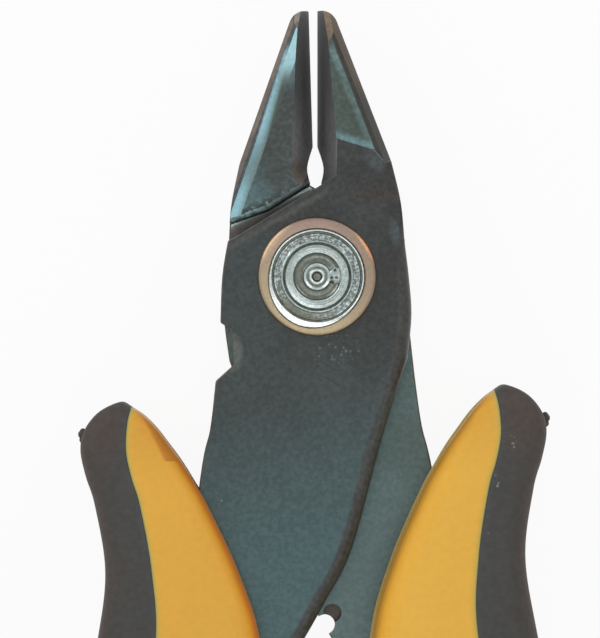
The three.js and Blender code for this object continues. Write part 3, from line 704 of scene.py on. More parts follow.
def light_foot(tree, colour, uneven):
    """A painted highlight in a sweep where the grinding wheel ran out, and a painted highlight as a light
    border along the outer side.
    """
    beside = product(tree, past(tree, RIGHT_BORDER_LINE, -0.02, 0.26), below(tree, 16.2, 1.5))
    border = mix_colour(tree, above(tree, 13.4, 1.2), (0.107, 0.160, 0.154), (0.152, 0.228, 0.218))
    colour = mix_colour(tree, beside, colour, border)
    sweep_in = math_node(tree, "POWER", past(tree, WHEEL_END_LINE, 1.1, 0.4), 2.0)
    colour = mix_colour(tree, sweep_in, colour, (0.150, 0.250, 0.262))
    return mix_colour(tree, past(tree, WHEEL_END_LINE, 0.42, -0.04), colour, (0.064, 0.086, 0.085))


def darker_downward(tree, colour, uneven):
    """Bare brown near the tip, darker toward the jaw's root."""
    return mix_colour(tree, below(tree, 14.3, 3), colour, (0.048, 0.047, 0.043))


def paler_root(tree, colour, uneven):
    """Painted paler from the middle of the blade down, as painted light against the shade deeper in the gap,
    with a brown cutting edge.
    """
    colour = mix_colour(tree, below(tree, 14, 6), colour, (0.17, 0.168, 0.17))
    return mix_colour(tree, past(tree, TO_THE_RIGHT, 0.2, 0.02), colour, (0.30, 0.20, 0.16))


def brown_root(tree, colour, uneven):
    """Painted paler from the middle of the blade down, as painted light against the shade deeper in the gap,
    and browner where its bevel runs out round the eye.
    """
    colour = mix_colour(tree, below(tree, 14, 6), colour, (0.34, 0.335, 0.345))
    return mix_colour(tree, below(tree, 8.4, 1.2), colour, (0.25, 0.205, 0.175))


oxide = steel_finish(
    "black_oxide", (0.045, 0.047, 0.045), (0.053, 0.058, 0.056), metallic=0.8, gloss=0.34, tint=worn_plate_and_painted_roll,
)
# The back lever's oxide is painted lighter than the front one's, as painted light against the shade the front
# plate casts on it.
lower_oxide = steel_finish(
    "lower_oxide", (0.084, 0.118, 0.110), (0.101, 0.149, 0.144), metallic=0.8, gloss=0.36,
    tint=lightened_slot,
)
worn_edge = steel_finish(
    "worn_edge", (0.066, 0.060, 0.054), (0.115, 0.096, 0.080), metallic=0.5, gloss=0.4,
)
# The long jaw's bright facet is painted lighter and bluer than its ground face, partly as painted highlight.
ground_bright = steel_finish(
    "bright_ground_facet", (0.074, 0.122, 0.131), (0.086, 0.142, 0.153), metallic=0.9, gloss=0.32,
    tint=painted_highlight_strip,
)
ground_teal = steel_finish(
    "teal_ground_face", (0.068, 0.080, 0.076), (0.080, 0.096, 0.092), metallic=0.8, gloss=0.36,
    tint=rough_shoulder,
)
ground_short = steel_finish(
    "short_ground_face", (0.076, 0.098, 0.086), (0.088, 0.116, 0.104), metallic=0.8, gloss=0.36,
    tint=light_foot,
)
# The left blade is painted lighter than the right one, as painted light on the blade that faces the weaker
# lamp.
left_blade = steel_finish(
    "left_blade", (0.130, 0.128, 0.130), (0.146, 0.144, 0.146), metallic=0.3, gloss=0.5, share=0.02,
    tint=brown_root,
)
right_blade = steel_finish(
    "right_blade", (0.090, 0.089, 0.090), (0.104, 0.103, 0.104), metallic=0.3, gloss=0.5, share=0.02,
    tint=paler_root,
)
bare_tip = steel_finish(
    "bare_tip", (0.187, 0.143, 0.098), (0.253, 0.190, 0.132), metallic=0.6, gloss=0.4, tint=pale_end,
)
brown_side = steel_finish(
    "brown_side", (0.14, 0.115, 0.09), (0.20, 0.165, 0.13), metallic=0.5, gloss=0.44,
)
brown_short_side = steel_finish(
    "brown_short_side", (0.099, 0.077, 0.056), (0.132, 0.101, 0.076), metallic=0.5, gloss=0.44,
    tint=darker_downward,
)
blue_border = steel_finish(
    "blue_border", (0.072, 0.084, 0.090), (0.088, 0.104, 0.112), metallic=0.8, gloss=0.36, tint=lit_border,
)
# The short jaw's steeper facet is painted dark, as painted shade on a facet that tilts away from the lamps.
dark_side = steel_finish(
    "dark_side", (0.045, 0.044, 0.037), (0.051, 0.050, 0.043), metallic=0.5, gloss=0.44, share=0.02,
)
# The shoulder's rounding and wall are painted light teal, as painted light against the slot's shade.
shoulder_roll = steel_finish(
    "shoulder_roll", (0.15, 0.24, 0.24), (0.17, 0.27, 0.265), metallic=0.2, gloss=0.45, tint=torn_edge,
)
# The bevel on the ridge between ground facets is painted lighter, as a painted highlight.
ridge_line = steel_finish(
    "ridge_line", (0.095, 0.125, 0.12), (0.125, 0.16, 0.16), metallic=0.8, gloss=0.36,
)

# Finishes of a lever by their index: the plate and its worn edges, then those of the jaw
PLATE_FACE, WORN, GROUND, BRIGHT, BLADE, TIP, SIDE, DARK, RIDGE, SHOULDER = range(10)
GROUND_FACETS = {GROUND, BRIGHT, BLADE, TIP, DARK}
FACETS = GROUND_FACETS | {PLATE_FACE, SIDE}
FRONT_FINISHES = [
    oxide, worn_edge, ground_short, ground_bright, right_blade, bare_tip, brown_short_side, dark_side,
    ridge_line,
]
BACK_FINISHES = [
    lower_oxide, worn_edge, ground_teal, ground_bright, left_blade, bare_tip, brown_side, blue_border,
    ridge_line, shoulder_roll,
]

# Ground faces of each jaw by how level they lie, from the levellest on
SHORT_JAW = ((0.86, GROUND), (0.55, DARK), (0.35, SIDE), (0.0, BLADE))
LONG_JAW = ((0.965, GROUND), (0.82, BRIGHT), (0.6, DARK), (0.38, SIDE), (0.0, BLADE))


# Levers: copies of the solids with broken edges and a finish for each ground face

def lever(name, body, finishes, ground_faces):
    """Lever from its solid: merged, given a finish on each face, and rounded along its edges."""
    bm = bmesh.new()
    bm.from_mesh(frame["nodes"][name].data)
    bmesh.ops.transform(bm, matrix=Matrix.Scale(1 / MM, 4), verts=bm.verts)
    bmesh.ops.transform(bm, matrix=REST[body].inverted(), verts=bm.verts)
    bmesh.ops.remove_doubles(bm, verts=bm.verts, dist=SOLID_MERGE)
    bmesh.ops.dissolve_limit(
        bm, angle_limit=SOLID_FLAT, use_dissolve_boundaries=False, verts=bm.verts, edges=bm.edges,
    )
    bm.normal_update()
    for face in bm.faces:
        face.material_index = lever_finish(face, ground_faces)
    roll_edge(bm)
    soften_shoulder(bm)
    break_edges(bm)
    bmesh.ops.transform(bm, matrix=REST[body], verts=bm.verts)
    made = dressed(name, bm, body, finishes, sharp=24)
    part_facets(made.data)
    weighted = made.modifiers.new("even_faces", "WEIGHTED_NORMAL")
    weighted.keep_sharp = True


def part_facets(mesh):
    """Keeps each ground facet flat up to its border with another facet."""
    beside = {}
    for face in mesh.polygons:
        for pair in face.edge_keys:
            beside.setdefault(pair, set()).add(face.material_index)
    for edge in mesh.edges:
        finishes = beside[edge.key]
        if len(finishes) > 1 and finishes <= FACETS:
            edge.use_edge_sharp = True


def lever_finish(face, ground_faces):
    """Index of the finish on a face, from its place and tilt on the closed tool."""
    normal = face.normal
    middle = face.calc_center_median()
    in_notch = (middle.xy - NOTCH_MIDDLE).length < NOTCH_REACH and middle.z < BACK_TOP - 0.1
    if in_notch and normal.z > DOWNWARD:
        return WORN
    if middle.y < JAW_FOOT or normal.z > LEVEL or normal.z < DOWNWARD:
        return PLATE_FACE
    if normal.y > TIP_SLOPE and middle.y > TIP_FOOT:
        return TIP
    if normal.z < OVERHANG:
        return SIDE
    return next(finish for level, finish in ground_faces if normal.z > level)


def edge_middle(edge):
    return (edge.verts[0].co + edge.verts[1].co) / 2


def off_the_cup(place):
    return place.xy.length > CUP_OUTSIDE + CUP_MARGIN


def on_rolled_edge(edge):
    """Whether an edge is on the front plate's right side, from the head down to the handles."""
    middle = edge_middle(edge)
    on_face = min(v.co.z for v in edge.verts) >= FRONT_FACE - 0.01
    beside = middle.x > ROLL_LEFT and ROLL_END < middle.y < ROLL_START
    lap = middle.x < LAP_RIGHT and middle.y > 0
    return on_face and beside and not lap and off_the_cup(middle) and edge.calc_face_angle(0) > ROLL_ANGLE


def roll_edge(bm):
    """Rounds the front plate's right edge from the head down, less and less upward."""
    edges = [e for e in bm.edges if on_rolled_edge(e)]
    if not edges:
        return
    corners = [(e.verts[0].co.copy(), e.verts[1].co.copy()) for e in edges]
    faces = rounded(bm, edges, ROLL_WIDTH, segments=5)
    roll = bm.verts.layers.float.new("roll")
    for vert in {v for face in faces for v in face.verts}:
        corner = nearest_on(corners, vert.co)
        share = ease(vert.co.y, ROLL_FULL, ROLL_START)
        vert[roll] = (1 - ease((vert.co - corner).length / ROLL_WIDTH, 0.3, 1.0)) * (1 - share)
        vert.co = vert.co.lerp(corner, share * (1 - BROKEN_EDGE / ROLL_WIDTH))
    bm.normal_update()


def nearest_on(lines, point):
    places = []
    for a, b in lines:
        share = intersect_point_line(point, a, b)[1]
        places.append(a.lerp(b, min(max(share, 0), 1)))
    return min(places, key=lambda place: (place - point).length)


def on_shoulder(edge):
    """Whether an edge is the upper one of the wall under the left jaw."""
    middle = edge_middle(edge)
    raised = min(v.co.z for v in edge.verts) > BACK_TOP + 0.5
    walls = [f for f in edge.link_faces if abs(f.normal.z) < WALL and f.normal.y < DOWNWARD]
    beside = SHOULDER_SPAN[0] < middle.y < SHOULDER_SPAN[1] and middle.x < 0
    return raised and beside and off_the_cup(middle) and len(walls) == 1


def soften_shoulder(bm):
    """Rounds the upper edge of the left jaw's shoulder."""
    edges = [e for e in bm.edges if on_shoulder(e)]
    if not edges:
        return
    for face in (f for e in edges for f in e.link_faces):
        if abs(face.normal.z) < WALL:
            face.material_index = SHOULDER
    for face in rounded(bm, edges, SHOULDER_ROUND, segments=4):
        face.material_index = SHOULDER
    bm.normal_update()


def to_break(edge):
    """Whether an edge loses its sharpness: not in the cup's seat or the notch, nor between ground facets."""
    if len(edge.link_faces) != 2:
        return False
    seat = all(CUP_SEAT[0] < v.co.xy.length < CUP_SEAT[1] for v in edge.verts)
    notch = all((v.co.xy - NOTCH_MIDDLE).length < NOTCH_REACH for v in edge.verts)
    smallest = min(face.calc_area() for face in edge.link_faces)
    if seat or notch or smallest < BROKEN_EDGE or edge.calc_length() < BROKEN_EDGE:
        return False
    finishes = {face.material_index for face in edge.link_faces}
    if finishes == {GROUND, DARK}:
        return edge.calc_face_angle(0) > RIDGE_ANGLE
    facets = len(finishes) == 2 and finishes <= GROUND_FACETS
    return not facets and edge.calc_face_angle(0) > BROKEN_ANGLE


def break_edges(bm):
    """Takes the sharpness off the other edges, worn on the plate and with a painted highlight on a ridge of
    the jaw.
    """
    edges = [e for e in bm.edges if to_break(e)]
    for face in rounded(bm, edges, BROKEN_EDGE, segments=2):
        around = {f.material_index for e in face.edges for f in e.link_faces}
        if {GROUND, DARK} <= around:
            face.material_index = RIDGE
        elif face.material_index in (PLATE_FACE, SIDE):
            face.material_index = WORN


lever("front_lever", "front_half", FRONT_FINISHES, SHORT_JAW)
lever("back_lever", "back_half", BACK_FINISHES, LONG_JAW)


# Rivet and cups

def turned_finish(name, roughness, line_scale, contrast, colours):
    """Turned metal: colour by radius and place, with fine circular lines about the pivot and mottle."""
    made, tree, shader = finish(name, 1.0, roughness)
    place = separated(tree, object_place(tree))
    squares = [product(tree, place[axis], place[axis]) for axis in ("X", "Y")]
    radius = math_node(tree, "SQRT", math_node(tree, "ADD", *squares))
    uneven = use(tree, MOTTLE, Cloud_Scale=900.0, Mottle_Scale=5200.0, Grain_Scale=12000.0)
    wobble = math_node(tree, "MULTIPLY_ADD", uneven["Cloud"], 0.08 * MM, radius)
    lines = math_node(tree, "SINE", math_node(tree, "MULTIPLY", wobble, line_scale))
    mask = ramp(tree, math_node(tree, "MULTIPLY_ADD", lines, 0.03, uneven["Mottle"]), 0.3, 0.7)
    shaded = mix_colour(tree, mask, (1 - contrast,) * 3, (1 + contrast,) * 3)
    colour = colours(tree, math_node(tree, "MULTIPLY", wobble, 1 / (RING_REACH * MM)), mask)
    tree.links.new(multiplied(tree, colour, shaded), shader.inputs["Base Color"])
    bump(tree, shader, math_node(tree, "MULTIPLY_ADD", lines, 0.3, uneven["Height"]), 0.35)
    return made


def ringed_steel(tree, radius, mask):
    """Bright lands and dark grooves, partly the turned tone and partly painted highlight and shade, a rough
    band with painted glints that is browner at the lower left, a painted highlight on the lower left land and
    rim, and the tab with its dots.
    """
    colour = colour_bands(tree, radius, RING_BANDS)
    rough = product(tree, ramp(tree, radius, 0.6, 0.62), ramp(tree, radius, 0.745, 0.73))
    sparkle = product(tree, rough, ramp(tree, mask, 0.35, 0.95))
    colour = mix_colour(tree, sparkle, colour, (0.38, 0.44, 0.44))
    low_left = past(tree, ((0, 0), (-0.45, -0.9)), 1.6, 2.8)
    colour = mix_colour(tree, product(tree, rough, low_left), colour, (0.14, 0.145, 0.115))
    whiter = past(tree, ((0, 0), (-0.6, -0.8)), 1.2, 2.0)
    land = product(tree, ramp(tree, radius, 0.42, 0.44), ramp(tree, radius, 0.55, 0.53))
    colour = mix_colour(tree, product(tree, land, whiter), colour, (0.54, 0.60, 0.59))
    rim = product(tree, ramp(tree, radius, 0.757, 0.772), low_left)
    colour = mix_colour(tree, rim, colour, (0.86, 0.89, 0.89))
    colour = patch(tree, colour, TAB_PLACE, (0.75, 0.8), 20, (0.40, 0.47, 0.46))
    for place in TAB_DOTS:
        colour = patch(tree, colour, place, (0.17, 0.15), 0, (0.06, 0.065, 0.06))
    return colour


def warm_copper(tree, radius, mask):
    """Pinker at the top, yellower at the bottom, duller to the right and with a painted orange highlight on
    the upper outer edges.
    """
    downward = past(tree, ((0, 0), (-0.2, -1)), -4, 4)
    colour = mix_colour(tree, downward, (0.335, 0.247, 0.202), (0.400, 0.329, 0.208))
    duller = product(tree, past(tree, TO_THE_RIGHT, 0, 4), 0.5)
    colour = mix_colour(tree, duller, colour, (0.25, 0.195, 0.145))
    for toward, start, glow in CUP_HIGHLIGHTS:
        colour = mix_colour(tree, past(tree, ((0, 0), toward), start, CUP_HIGHLIGHT_END), colour, glow)
    return colour


rivet_steel = turned_finish(
    "turned_steel", roughness=0.3, line_scale=42000, contrast=0.2, colours=ringed_steel,
)
cup_copper = turned_finish(
    "cup_copper", roughness=0.36, line_scale=60000, contrast=0.06, colours=warm_copper,
)


def crescent(vert):
    """Share of the crescent-shaped gap beside the rivet's head at a vertex: it sits a little off centre."""
    turn = math.atan2(vert.co.y, vert.co.x) - CRESCENT_TURN
    return max(math.cos(turn), 0.0) ** 3


def rivet():
    """Turned rivet: a flat back head, the shank and a front head of rings, given by radius and depth."""
    rings = [
        (3.2, 0.07), (3.16, 0.03), (3.12, 0.01),
        (3.08, 0.02), (3.05, 0.06), (3.0, 0.2), (2.95, 0.2), (2.9, 0.11), (2.66, 0.11), (2.52, 0.1),
        (2.44, 0.06), (2.4, 0.03), (2.34, 0.02), (2.3, 0.06), (2.26, 0.18), (2.22, 0.2), (2.18, 0.14),
        (2.13, 0.05), (2.04, 0.04), (1.9, 0.03), (1.75, 0.06), (1.68, 0.05), (1.63, 0.07), (1.59, 0.14),
        (1.55, 0.28), (1.48, 0.34), (1.3, 0.36), (1.04, 0.36), (0.98, 0.33), (0.93, 0.22), (0.88, 0.17),
        (0.82, 0.18), (0.74, 0.24), (0.65, 0.26), (0.57, 0.24), (0.51, 0.16), (0.45, 0.12), (0.38, 0.14),
        (0.32, 0.22), (0.28, 0.36), (0.24, 0.42), (0.0, 0.42),
    ]
    head = BACK_FACE + CUP_SINK - CUP_FLOOR - HEAD_PLAY
    bm = spun([
        (0, 0), (RIVET_HEAD - 0.3, 0), (RIVET_HEAD - 0.09, 0.09), (RIVET_HEAD, 0.3), (RIVET_HEAD, head),
        (SHANK, head), (SHANK, RIVET_TOP - head), (RIVET_HEAD, RIVET_TOP - head),
        *[(radius, RIVET_TOP - depth) for radius, depth in rings],
    ])
    for vert in bm.verts:
        radius = vert.co.xy.length
        if vert.co.z > RIVET_TOP - 0.1 and radius > RIVET_HEAD - 0.02:
            wide = crescent(vert)
            vert.co.xy *= 1 + CRESCENT_WIDTH * wide / radius
            vert.co.z += CRESCENT_RISE * wide
    tab = bmesh.ops.create_icosphere(bm, subdivisions=4, radius=1)["verts"]
    for vert in tab:
        lumpy = 1 + 0.1 * math.sin(7 * vert.co.x + 2) * math.cos(6 * vert.co.y + 1)
        vert.co.xy *= lumpy
        vert.co = TAB_MIDDLE + vert.co * TAB_RADII
    bmesh.ops.transform(bm, matrix=REST["front_half"], verts=bm.verts)
    dressed("pivot_rivet", bm, "front_half", [rivet_steel], sharp=50)


def cup(name, face, outward):
    """Cup with a rounded rim, which stands proud of a plate's face on its outward side."""
    floor = face - outward * CUP_SINK
    ledge = floor + outward * CUP_FLOOR
    rim = face + outward * BACK_FACE
    bm = spun([
        (CUP_BORE, floor), (CUP_OUTSIDE - 0.1, floor), (CUP_OUTSIDE, floor + outward * 0.1),
        (CUP_OUTSIDE, rim - outward * 0.26), (CUP_OUTSIDE - 0.02, rim - outward * 0.16),
        (CUP_OUTSIDE - 0.07, rim - outward * 0.07), (CUP_OUTSIDE - 0.15, rim - outward * 0.015),
        (CUP_OUTSIDE - 0.24, rim), (CUP_INSIDE + 0.05, rim), (CUP_INSIDE, rim - outward * 0.05),
        (CUP_INSIDE, ledge), (CUP_BORE, ledge), (CUP_BORE, floor),
    ])
    for vert in bm.verts:
        if outward > 0 and CUP_INSIDE - 0.01 < vert.co.xy.length < CUP_INSIDE + 0.06:
            vert.co.xy *= 1 + CRESCENT_WIDTH * crescent(vert) / CUP_INSIDE
    dressed(name, bm, "front_half", [cup_copper], sharp=40)


rivet()
cup("front_cup_washer", FRONT_FACE, 1)
cup("back_cup_washer", BACK_FACE, -1)


# Grips

def moulding_finish(name, reach, edge_bands, seam_bands, wall, fleck, roughness, share, grain, tint):
    """Moulded plastic or rubber: colour by the distance from the long edge and the seam, grain and flecks."""
    made, tree, shader = finish(name, 0.0, roughness, 0.2)
    from_edge = math_node(tree, "MULTIPLY", attribute(tree, "from_edge"), 1 / reach)
    colour = tint(tree, colour_bands(tree, from_edge, edge_bands))
    colour = mix_colour(tree, ramp(tree, steepness(tree), 0.8, 0.95), colour, wall)
    from_seam = attribute(tree, "from_seam")
    beside = colour_bands(tree, math_node(tree, "MULTIPLY", from_seam, 1 / SEAM_REACH), seam_bands)
    colour = mix_colour(tree, ramp(tree, from_seam, SEAM_REACH, 0.0), colour, beside)
    uneven = use(tree, MOTTLE, Cloud_Scale=120.0, Mottle_Scale=2200.0, Grain_Scale=8000.0)
    dots = use(tree, SPECKS, Scale=650.0, Size=0.09, Share=share)
    slow = mix_colour(tree, ramp(tree, uneven["Cloud"], 0.3, 0.7), (0.98,) * 3, (1.02,) * 3)
    fine = mix_colour(tree, ramp(tree, uneven["Mottle"], 0.3, 0.7), (1 - grain,) * 3, (1 + grain,) * 3)
    colour = multiplied(tree, multiplied(tree, colour, slow), fine)
    tree.links.new(mix_colour(tree, dots["Mask"], colour, fleck), shader.inputs["Base Color"])
    bump(tree, shader, uneven["Height"], 0.12)
    return made


def duller_horn(tree, colour):
    """Slightly darker toward the horn's tip."""
    return mix_colour(tree, above(tree, -14, 5.0), colour, multiplied(tree, colour, (0.9, 0.87, 0.9)))


def painted_shade_horn(tree, colour):
    """Slightly darker toward the horn's tip, with a patch of painted shade on its inner edge, where a flat
    facet would turn from the light, that ends in a step.
    """
    painted_shade = product(tree, past(tree, HORN_SHADE_LINE, 0.0, 0.32), above(tree, -12.3, 0.1))
    return mix_colour(tree, painted_shade, duller_horn(tree, colour), (0.55, 0.21, 0.026))


def brown_horn(tree, colour):
    """Browner toward the horn's tip, with three small clusters of dust on the right cover."""
    colour = mix_colour(tree, above(tree, -14, 4.0), colour, (0.077, 0.063, 0.056))
    for place in GRIP_DUST:
        colour = speckled(tree, colour, place, (0.35, 1.1), (0.22, 0.23, 0.23))
    return colour


def yellow_finish(name, edge_bands, tint):
    return moulding_finish(
        name, YELLOW_REACH, edge_bands, YELLOW_SEAM, wall=(0.72, 0.355, 0.042), fleck=(0.8, 0.6, 0.3),
        roughness=0.45, share=0.02, grain=0.025, tint=tint,
    )


left_yellow = yellow_finish("left_yellow_moulding", LEFT_YELLOW, painted_shade_horn)
right_yellow = yellow_finish("right_yellow_moulding", RIGHT_YELLOW, duller_horn)
grip_black = moulding_finish(
    "black_moulding", BLACK_REACH, BLACK, BLACK_SEAM, wall=(0.066, 0.062, 0.058), fleck=(0.3, 0.3, 0.3),
    roughness=0.62, share=0.08, grain=0.09, tint=brown_horn,
)


def grip_half_thickness(inner):
    """Half of a grip's thickness at a point of its inner edge."""
    horn = ease(inner.y, HORN_TOP, HORN_FOOT)
    tail = ease(inner.y, TAIL_START, TAIL_END)
    upper = HORN_THICKNESS + (GRIP_THICKNESS - HORN_THICKNESS) * horn
    thickness = upper + (TAIL_THICKNESS - upper) * tail
    ends = (Vector(GRIP_ROWS[0][INNER]), Vector(GRIP_ROWS[LAST_ROW][INNER]))
    to_end = min((inner - end).length for end in ends)
    rounding = math.sqrt(1 - (1 - min(to_end / END_ROUND, 1)) ** 2)
    return thickness / 2 * max(rounding, 0.3)


def grip_section(width, half, rounds, flash):
    """Points round a section, by distance from its first edge and level: rounded edges, a lip of flash."""
    points = []
    for far, level, start in ((0, 1, 90), (0, -1, 180), (1, -1, 270), (1, 1, 0)):
        radius = min(rounds[far], width * 0.45, half * 0.9)
        across = width - radius if far else flash + radius
        height = level * (half - radius)
        for k in range(ROUND_STEPS + 1):
            angle = math.radians(start + 90 * k / ROUND_STEPS)
            points.append((across + radius * math.cos(angle), height + radius * math.sin(angle)))
        if start == 90 and flash:
            lip = min(FLASH_LEVEL, 0.6 * (half - radius))
            points += [(flash, lip * 1.3), (0, lip), (0, -lip), (flash, -lip * 1.3)]
    return points


def grip_rings(side, seat, first, second, last_row, rounds, flash):
    """Rings of a grip between two of its edges, each point with its distances from both."""
    edges = [[row[edge] for row in GRIP_ROWS] for edge in (INNER, SEAM, OUTER)]
    steps = [k / ROW_STEPS / LAST_ROW for k in range(last_row * ROW_STEPS + 1)]
    steps[0] = END_GAP
    steps[-1] = 1 - END_GAP if last_row == LAST_ROW else (last_row - CORE_END_GAP) / LAST_ROW
    shift = Vector((seat * SEAT, -seat * SEAT))
    rings = []
    for along in steps:
        a, b = spline(edges[first], along) + shift, spline(edges[second], along) + shift
        half = grip_half_thickness(spline(edges[INNER], along))
        width = (b - a).length
        ring = []
        for across, level in grip_section(width, half, rounds, flash):
            place = a.lerp(b, across / width)
            ring.append((Vector((side * place.x, place.y, MIDDLE + level)), across, width - across))
        rings.append(ring)
    return rings


def grip_piece(name, body, rings, labels, material, gate=None):
    """Skin over rings whose points carry their distances from two edges, under the labels given for these."""
    bm = bmesh.new()
    skin(bm, [[REST[body] @ point for point, near, far in ring] for ring in rings])
    layers = [bm.verts.layers.float.new(label) for label in labels]
    entries = [entry for ring in rings for entry in ring]
    tree = KDTree(len(entries))
    for k, (point, near, far) in enumerate(entries):
        tree.insert(REST[body] @ point, k)
    tree.balance()
    for vert in bm.verts:
        point, near, far = entries[tree.find(vert.co)[1]]
        for layer, distance in zip(layers, (near, far)):
            vert[layer] = distance
    if gate:
        torn_gate(bm, gate, layers)
    dressed(name, bm, body, [material], sharp=40)


def torn_gate(bm, place, layers):
    """Torn-off gate of the mould on the outer side of a horn, at a place on the tool at rest."""
    for step, size in GATE_LUMPS:
        lump = bmesh.ops.create_icosphere(bm, subdivisions=2, radius=size)["verts"]
        bmesh.ops.translate(bm, vec=place + Vector((0, step, 0)), verts=lump)
        for vert in lump:
            for layer in layers:
                vert[layer] = 1.0


def grip(label, body, side, seat, flash, yellow, gate):
    """Core and cover of one grip, on a side of the tool and shifted on it by the seat."""
    core = grip_rings(side, seat, INNER, SEAM, CORE_LAST_ROW, (INNER_EDGE, SEAM_EDGE), flash)
    cover = grip_rings(side, seat, SEAM, OUTER, LAST_ROW, (SEAM_EDGE, OUTER_EDGE), 0)
    grip_piece(label + "_grip_core", body, core, ("from_edge", "from_seam"), yellow)
    grip_piece(label + "_grip_cover", body, cover, ("from_seam", "from_edge"), grip_black, gate)


grip("left", "front_half", -1, 1, LEFT_FLASH, left_yellow, LEFT_GATE)
grip("right", "back_half", 1, -1, RIGHT_FLASH, right_yellow, RIGHT_GATE)


# Return spring

def spring_finish():
    """Drawn wire: bright steel with fine mottle."""
    made, tree, shader = finish("spring_wire", 1.0, 0.3)
    uneven = use(tree, MOTTLE, Cloud_Scale=500.0, Mottle_Scale=3500.0, Grain_Scale=9000.0)
    mottle = ramp(tree, uneven["Mottle"], 0.3, 0.7)
    colour = mix_colour(tree, mottle, (0.42, 0.44, 0.44), (0.6, 0.63, 0.63))
    tree.links.new(colour, shader.inputs["Base Color"])
    bump(tree, shader, uneven["Height"], 0.15, 0.01)
    return made


def bend_points(a, b, c, steps):
    """Points on a bend from one place to another that leans on a corner between them."""
    return [a.lerp(b, k / steps).lerp(b.lerp(c, k / steps), k / steps) for k in range(steps + 1)]


def spring_half(side, seat, turn):
    """Points from the middle of the bend to the foot in one grip."""
    inner = [row[INNER] for row in GRIP_ROWS]
    points = [spline(inner, k / EDGE_STEPS) for k in range(EDGE_STEPS + 1)]
    edge = next(p for p in points if p.y - seat * SEAT < SPRING_FOOT_Y)
    mouth = turn @ Vector((side * (edge.x + seat * SEAT), edge.y - seat * SEAT, 0))
    inward = turn.to_3x3() @ Vector((side, 0, 0))
    top = Vector((0, SPRING_TOP, 0))
    bend = Vector((side * SPRING_BEND, SPRING_TOP, 0))
    corner = mouth - inward * SPRING_CORNER
    leg = (corner - bend).normalized()
    leg_top = bend + leg * SPRING_BEND
    leg_foot = corner - leg * SPRING_CORNER
    straight = [leg_top.lerp(leg_foot, k / LEG_STEPS) for k in range(1, LEG_STEPS)]
    foot = mouth + inward * SPRING_FOOT_DEPTH
    return [
        *bend_points(top, bend, leg_top, 12), *straight,
        *bend_points(leg_foot, corner, mouth, 10), mouth.lerp(foot, 0.5), foot,
    ]


def return_spring():
    """Hairpin of wire from one grip over the bend to the other."""
    left = spring_half(-1, 1, REST["front_half"])
    right = spring_half(1, -1, REST["back_half"])
    route = [*reversed(left), *right[1:]]
    rings = []
    for k, point in enumerate(route):
        ahead = (route[min(k + 1, len(route) - 1)] - route[max(k - 1, 0)]).normalized()
        beside = ahead.cross(Vector((0, 0, 1)))
        ring = []
        for step in range(WIRE_STEPS):
            turn = math.tau * step / WIRE_STEPS
            out = beside * math.cos(turn) + Vector((0, 0, math.sin(turn)))
            ring.append(point + Vector((0, 0, MIDDLE)) + out * WIRE / 2)
        rings.append(ring)
    bm = bmesh.new()
    skin(bm, rings)
    made = dressed("return_spring", bm, None, [spring_finish()], sharp=50)
    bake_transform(made)


return_spring()


# Floor, light and camera

def seen_directly(tree):
    """1 for what the camera sees, also through glass or in a mirror."""
    path = tree.nodes.new("ShaderNodeLightPath")
    mirrored = math_node(tree, "MAXIMUM", path.outputs["Is Glossy Ray"], path.outputs["Is Transmission Ray"])
    return math_node(tree, "MAXIMUM", path.outputs["Is Camera Ray"], mirrored)


def pale_surface(name, colour, share):
    """Surface that takes shadows and is nearly white to the camera and in reflections."""
    made = bpy.data.materials.new(name)
    made.use_nodes = True
    tree = made.node_tree
    tree.nodes.clear()
    diffuse = tree.nodes.new("ShaderNodeBsdfDiffuse")
    diffuse.inputs["Color"].default_value = (*colour, 1)
    glow = tree.nodes.new("ShaderNodeEmission")
    both = tree.nodes.new("ShaderNodeMixShader")
    tree.links.new(math_node(tree, "MULTIPLY", seen_directly(tree), share), both.inputs["Fac"])
    tree.links.new(diffuse.outputs["BSDF"], both.inputs[1])
    tree.links.new(glow.outputs["Emission"], both.inputs[2])
    out = tree.nodes.new("ShaderNodeOutputMaterial")
    tree.links.new(both.outputs["Shader"], out.inputs["Surface"])
    return made


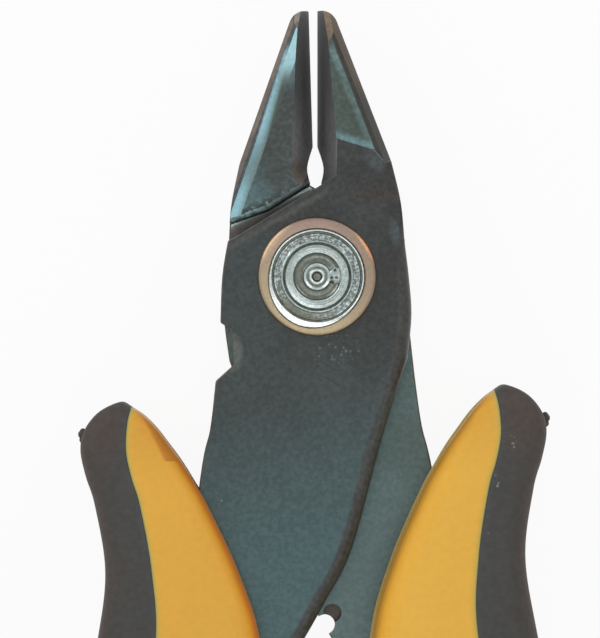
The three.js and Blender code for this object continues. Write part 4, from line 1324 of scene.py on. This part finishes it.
def floor():
    bm = bmesh.new()
    bmesh.ops.create_grid(bm, x_segments=1, y_segments=1, size=FLOOR_HALF)
    bmesh.ops.translate(bm, vec=(0, 0, MIDDLE - GRIP_THICKNESS / 2 - FLOOR_GAP), verts=bm.verts)
    made = mesh_object("floor", bm, [pale_surface("pale_floor", (0.85, 0.85, 0.84), 0.925)])


def area_light(name, place, target, width, height, radiance):
    lamp = bpy.data.lights.new(name, "AREA")
    lamp.shape = "RECTANGLE"
    lamp.size = width
    lamp.size_y = height
    lamp.energy = radiance * math.pi * width * height
    made = bpy.data.objects.new(name, lamp)
    bpy.context.scene.collection.objects.link(made)
    made.location = place
    made.rotation_euler = (Vector(target) - Vector(place)).to_track_quat("-Z", "Y").to_euler()


def world(strength):
    """Soft light from all round, with white behind the tool."""
    made = bpy.data.worlds.new("studio")
    bpy.context.scene.world = made
    made.use_nodes = True
    tree = made.node_tree
    tree.nodes.clear()
    soft = tree.nodes.new("ShaderNodeBackground")
    soft.inputs["Strength"].default_value = strength
    white = tree.nodes.new("ShaderNodeBackground")
    both = tree.nodes.new("ShaderNodeMixShader")
    tree.links.new(seen_directly(tree), both.inputs["Fac"])
    tree.links.new(soft.outputs["Background"], both.inputs[1])
    tree.links.new(white.outputs["Background"], both.inputs[2])
    out = tree.nodes.new("ShaderNodeOutputWorld")
    tree.links.new(both.outputs["Shader"], out.inputs["Surface"])


def camera():
    """Camera straight over the tool, at the photo's scale on the front face."""
    lens = bpy.data.cameras.new("camera")
    picture_height = PICTURE_ROWS * CUP_WIDTH / CUP_PIXELS * MM
    lens.sensor_width = FILM_WIDTH
    lens.lens = FILM_WIDTH * CAMERA_DISTANCE / picture_height
    lens.clip_start = 0.01
    made = bpy.data.objects.new("camera", lens)
    bpy.context.scene.collection.objects.link(made)
    made.location = (CAMERA_X * MM, CAMERA_Y * MM, FRONT_FACE * MM + CAMERA_DISTANCE)
    made.rotation_euler = (0, 0, CAMERA_TURN)
    bpy.context.scene.camera = made


floor()
world(WORLD_LIGHT)
for lamp_name, lamp_sizes in LAMPS.items():
    area_light(lamp_name, *lamp_sizes)
camera()
bpy.context.scene.view_settings.view_transform = "Standard"
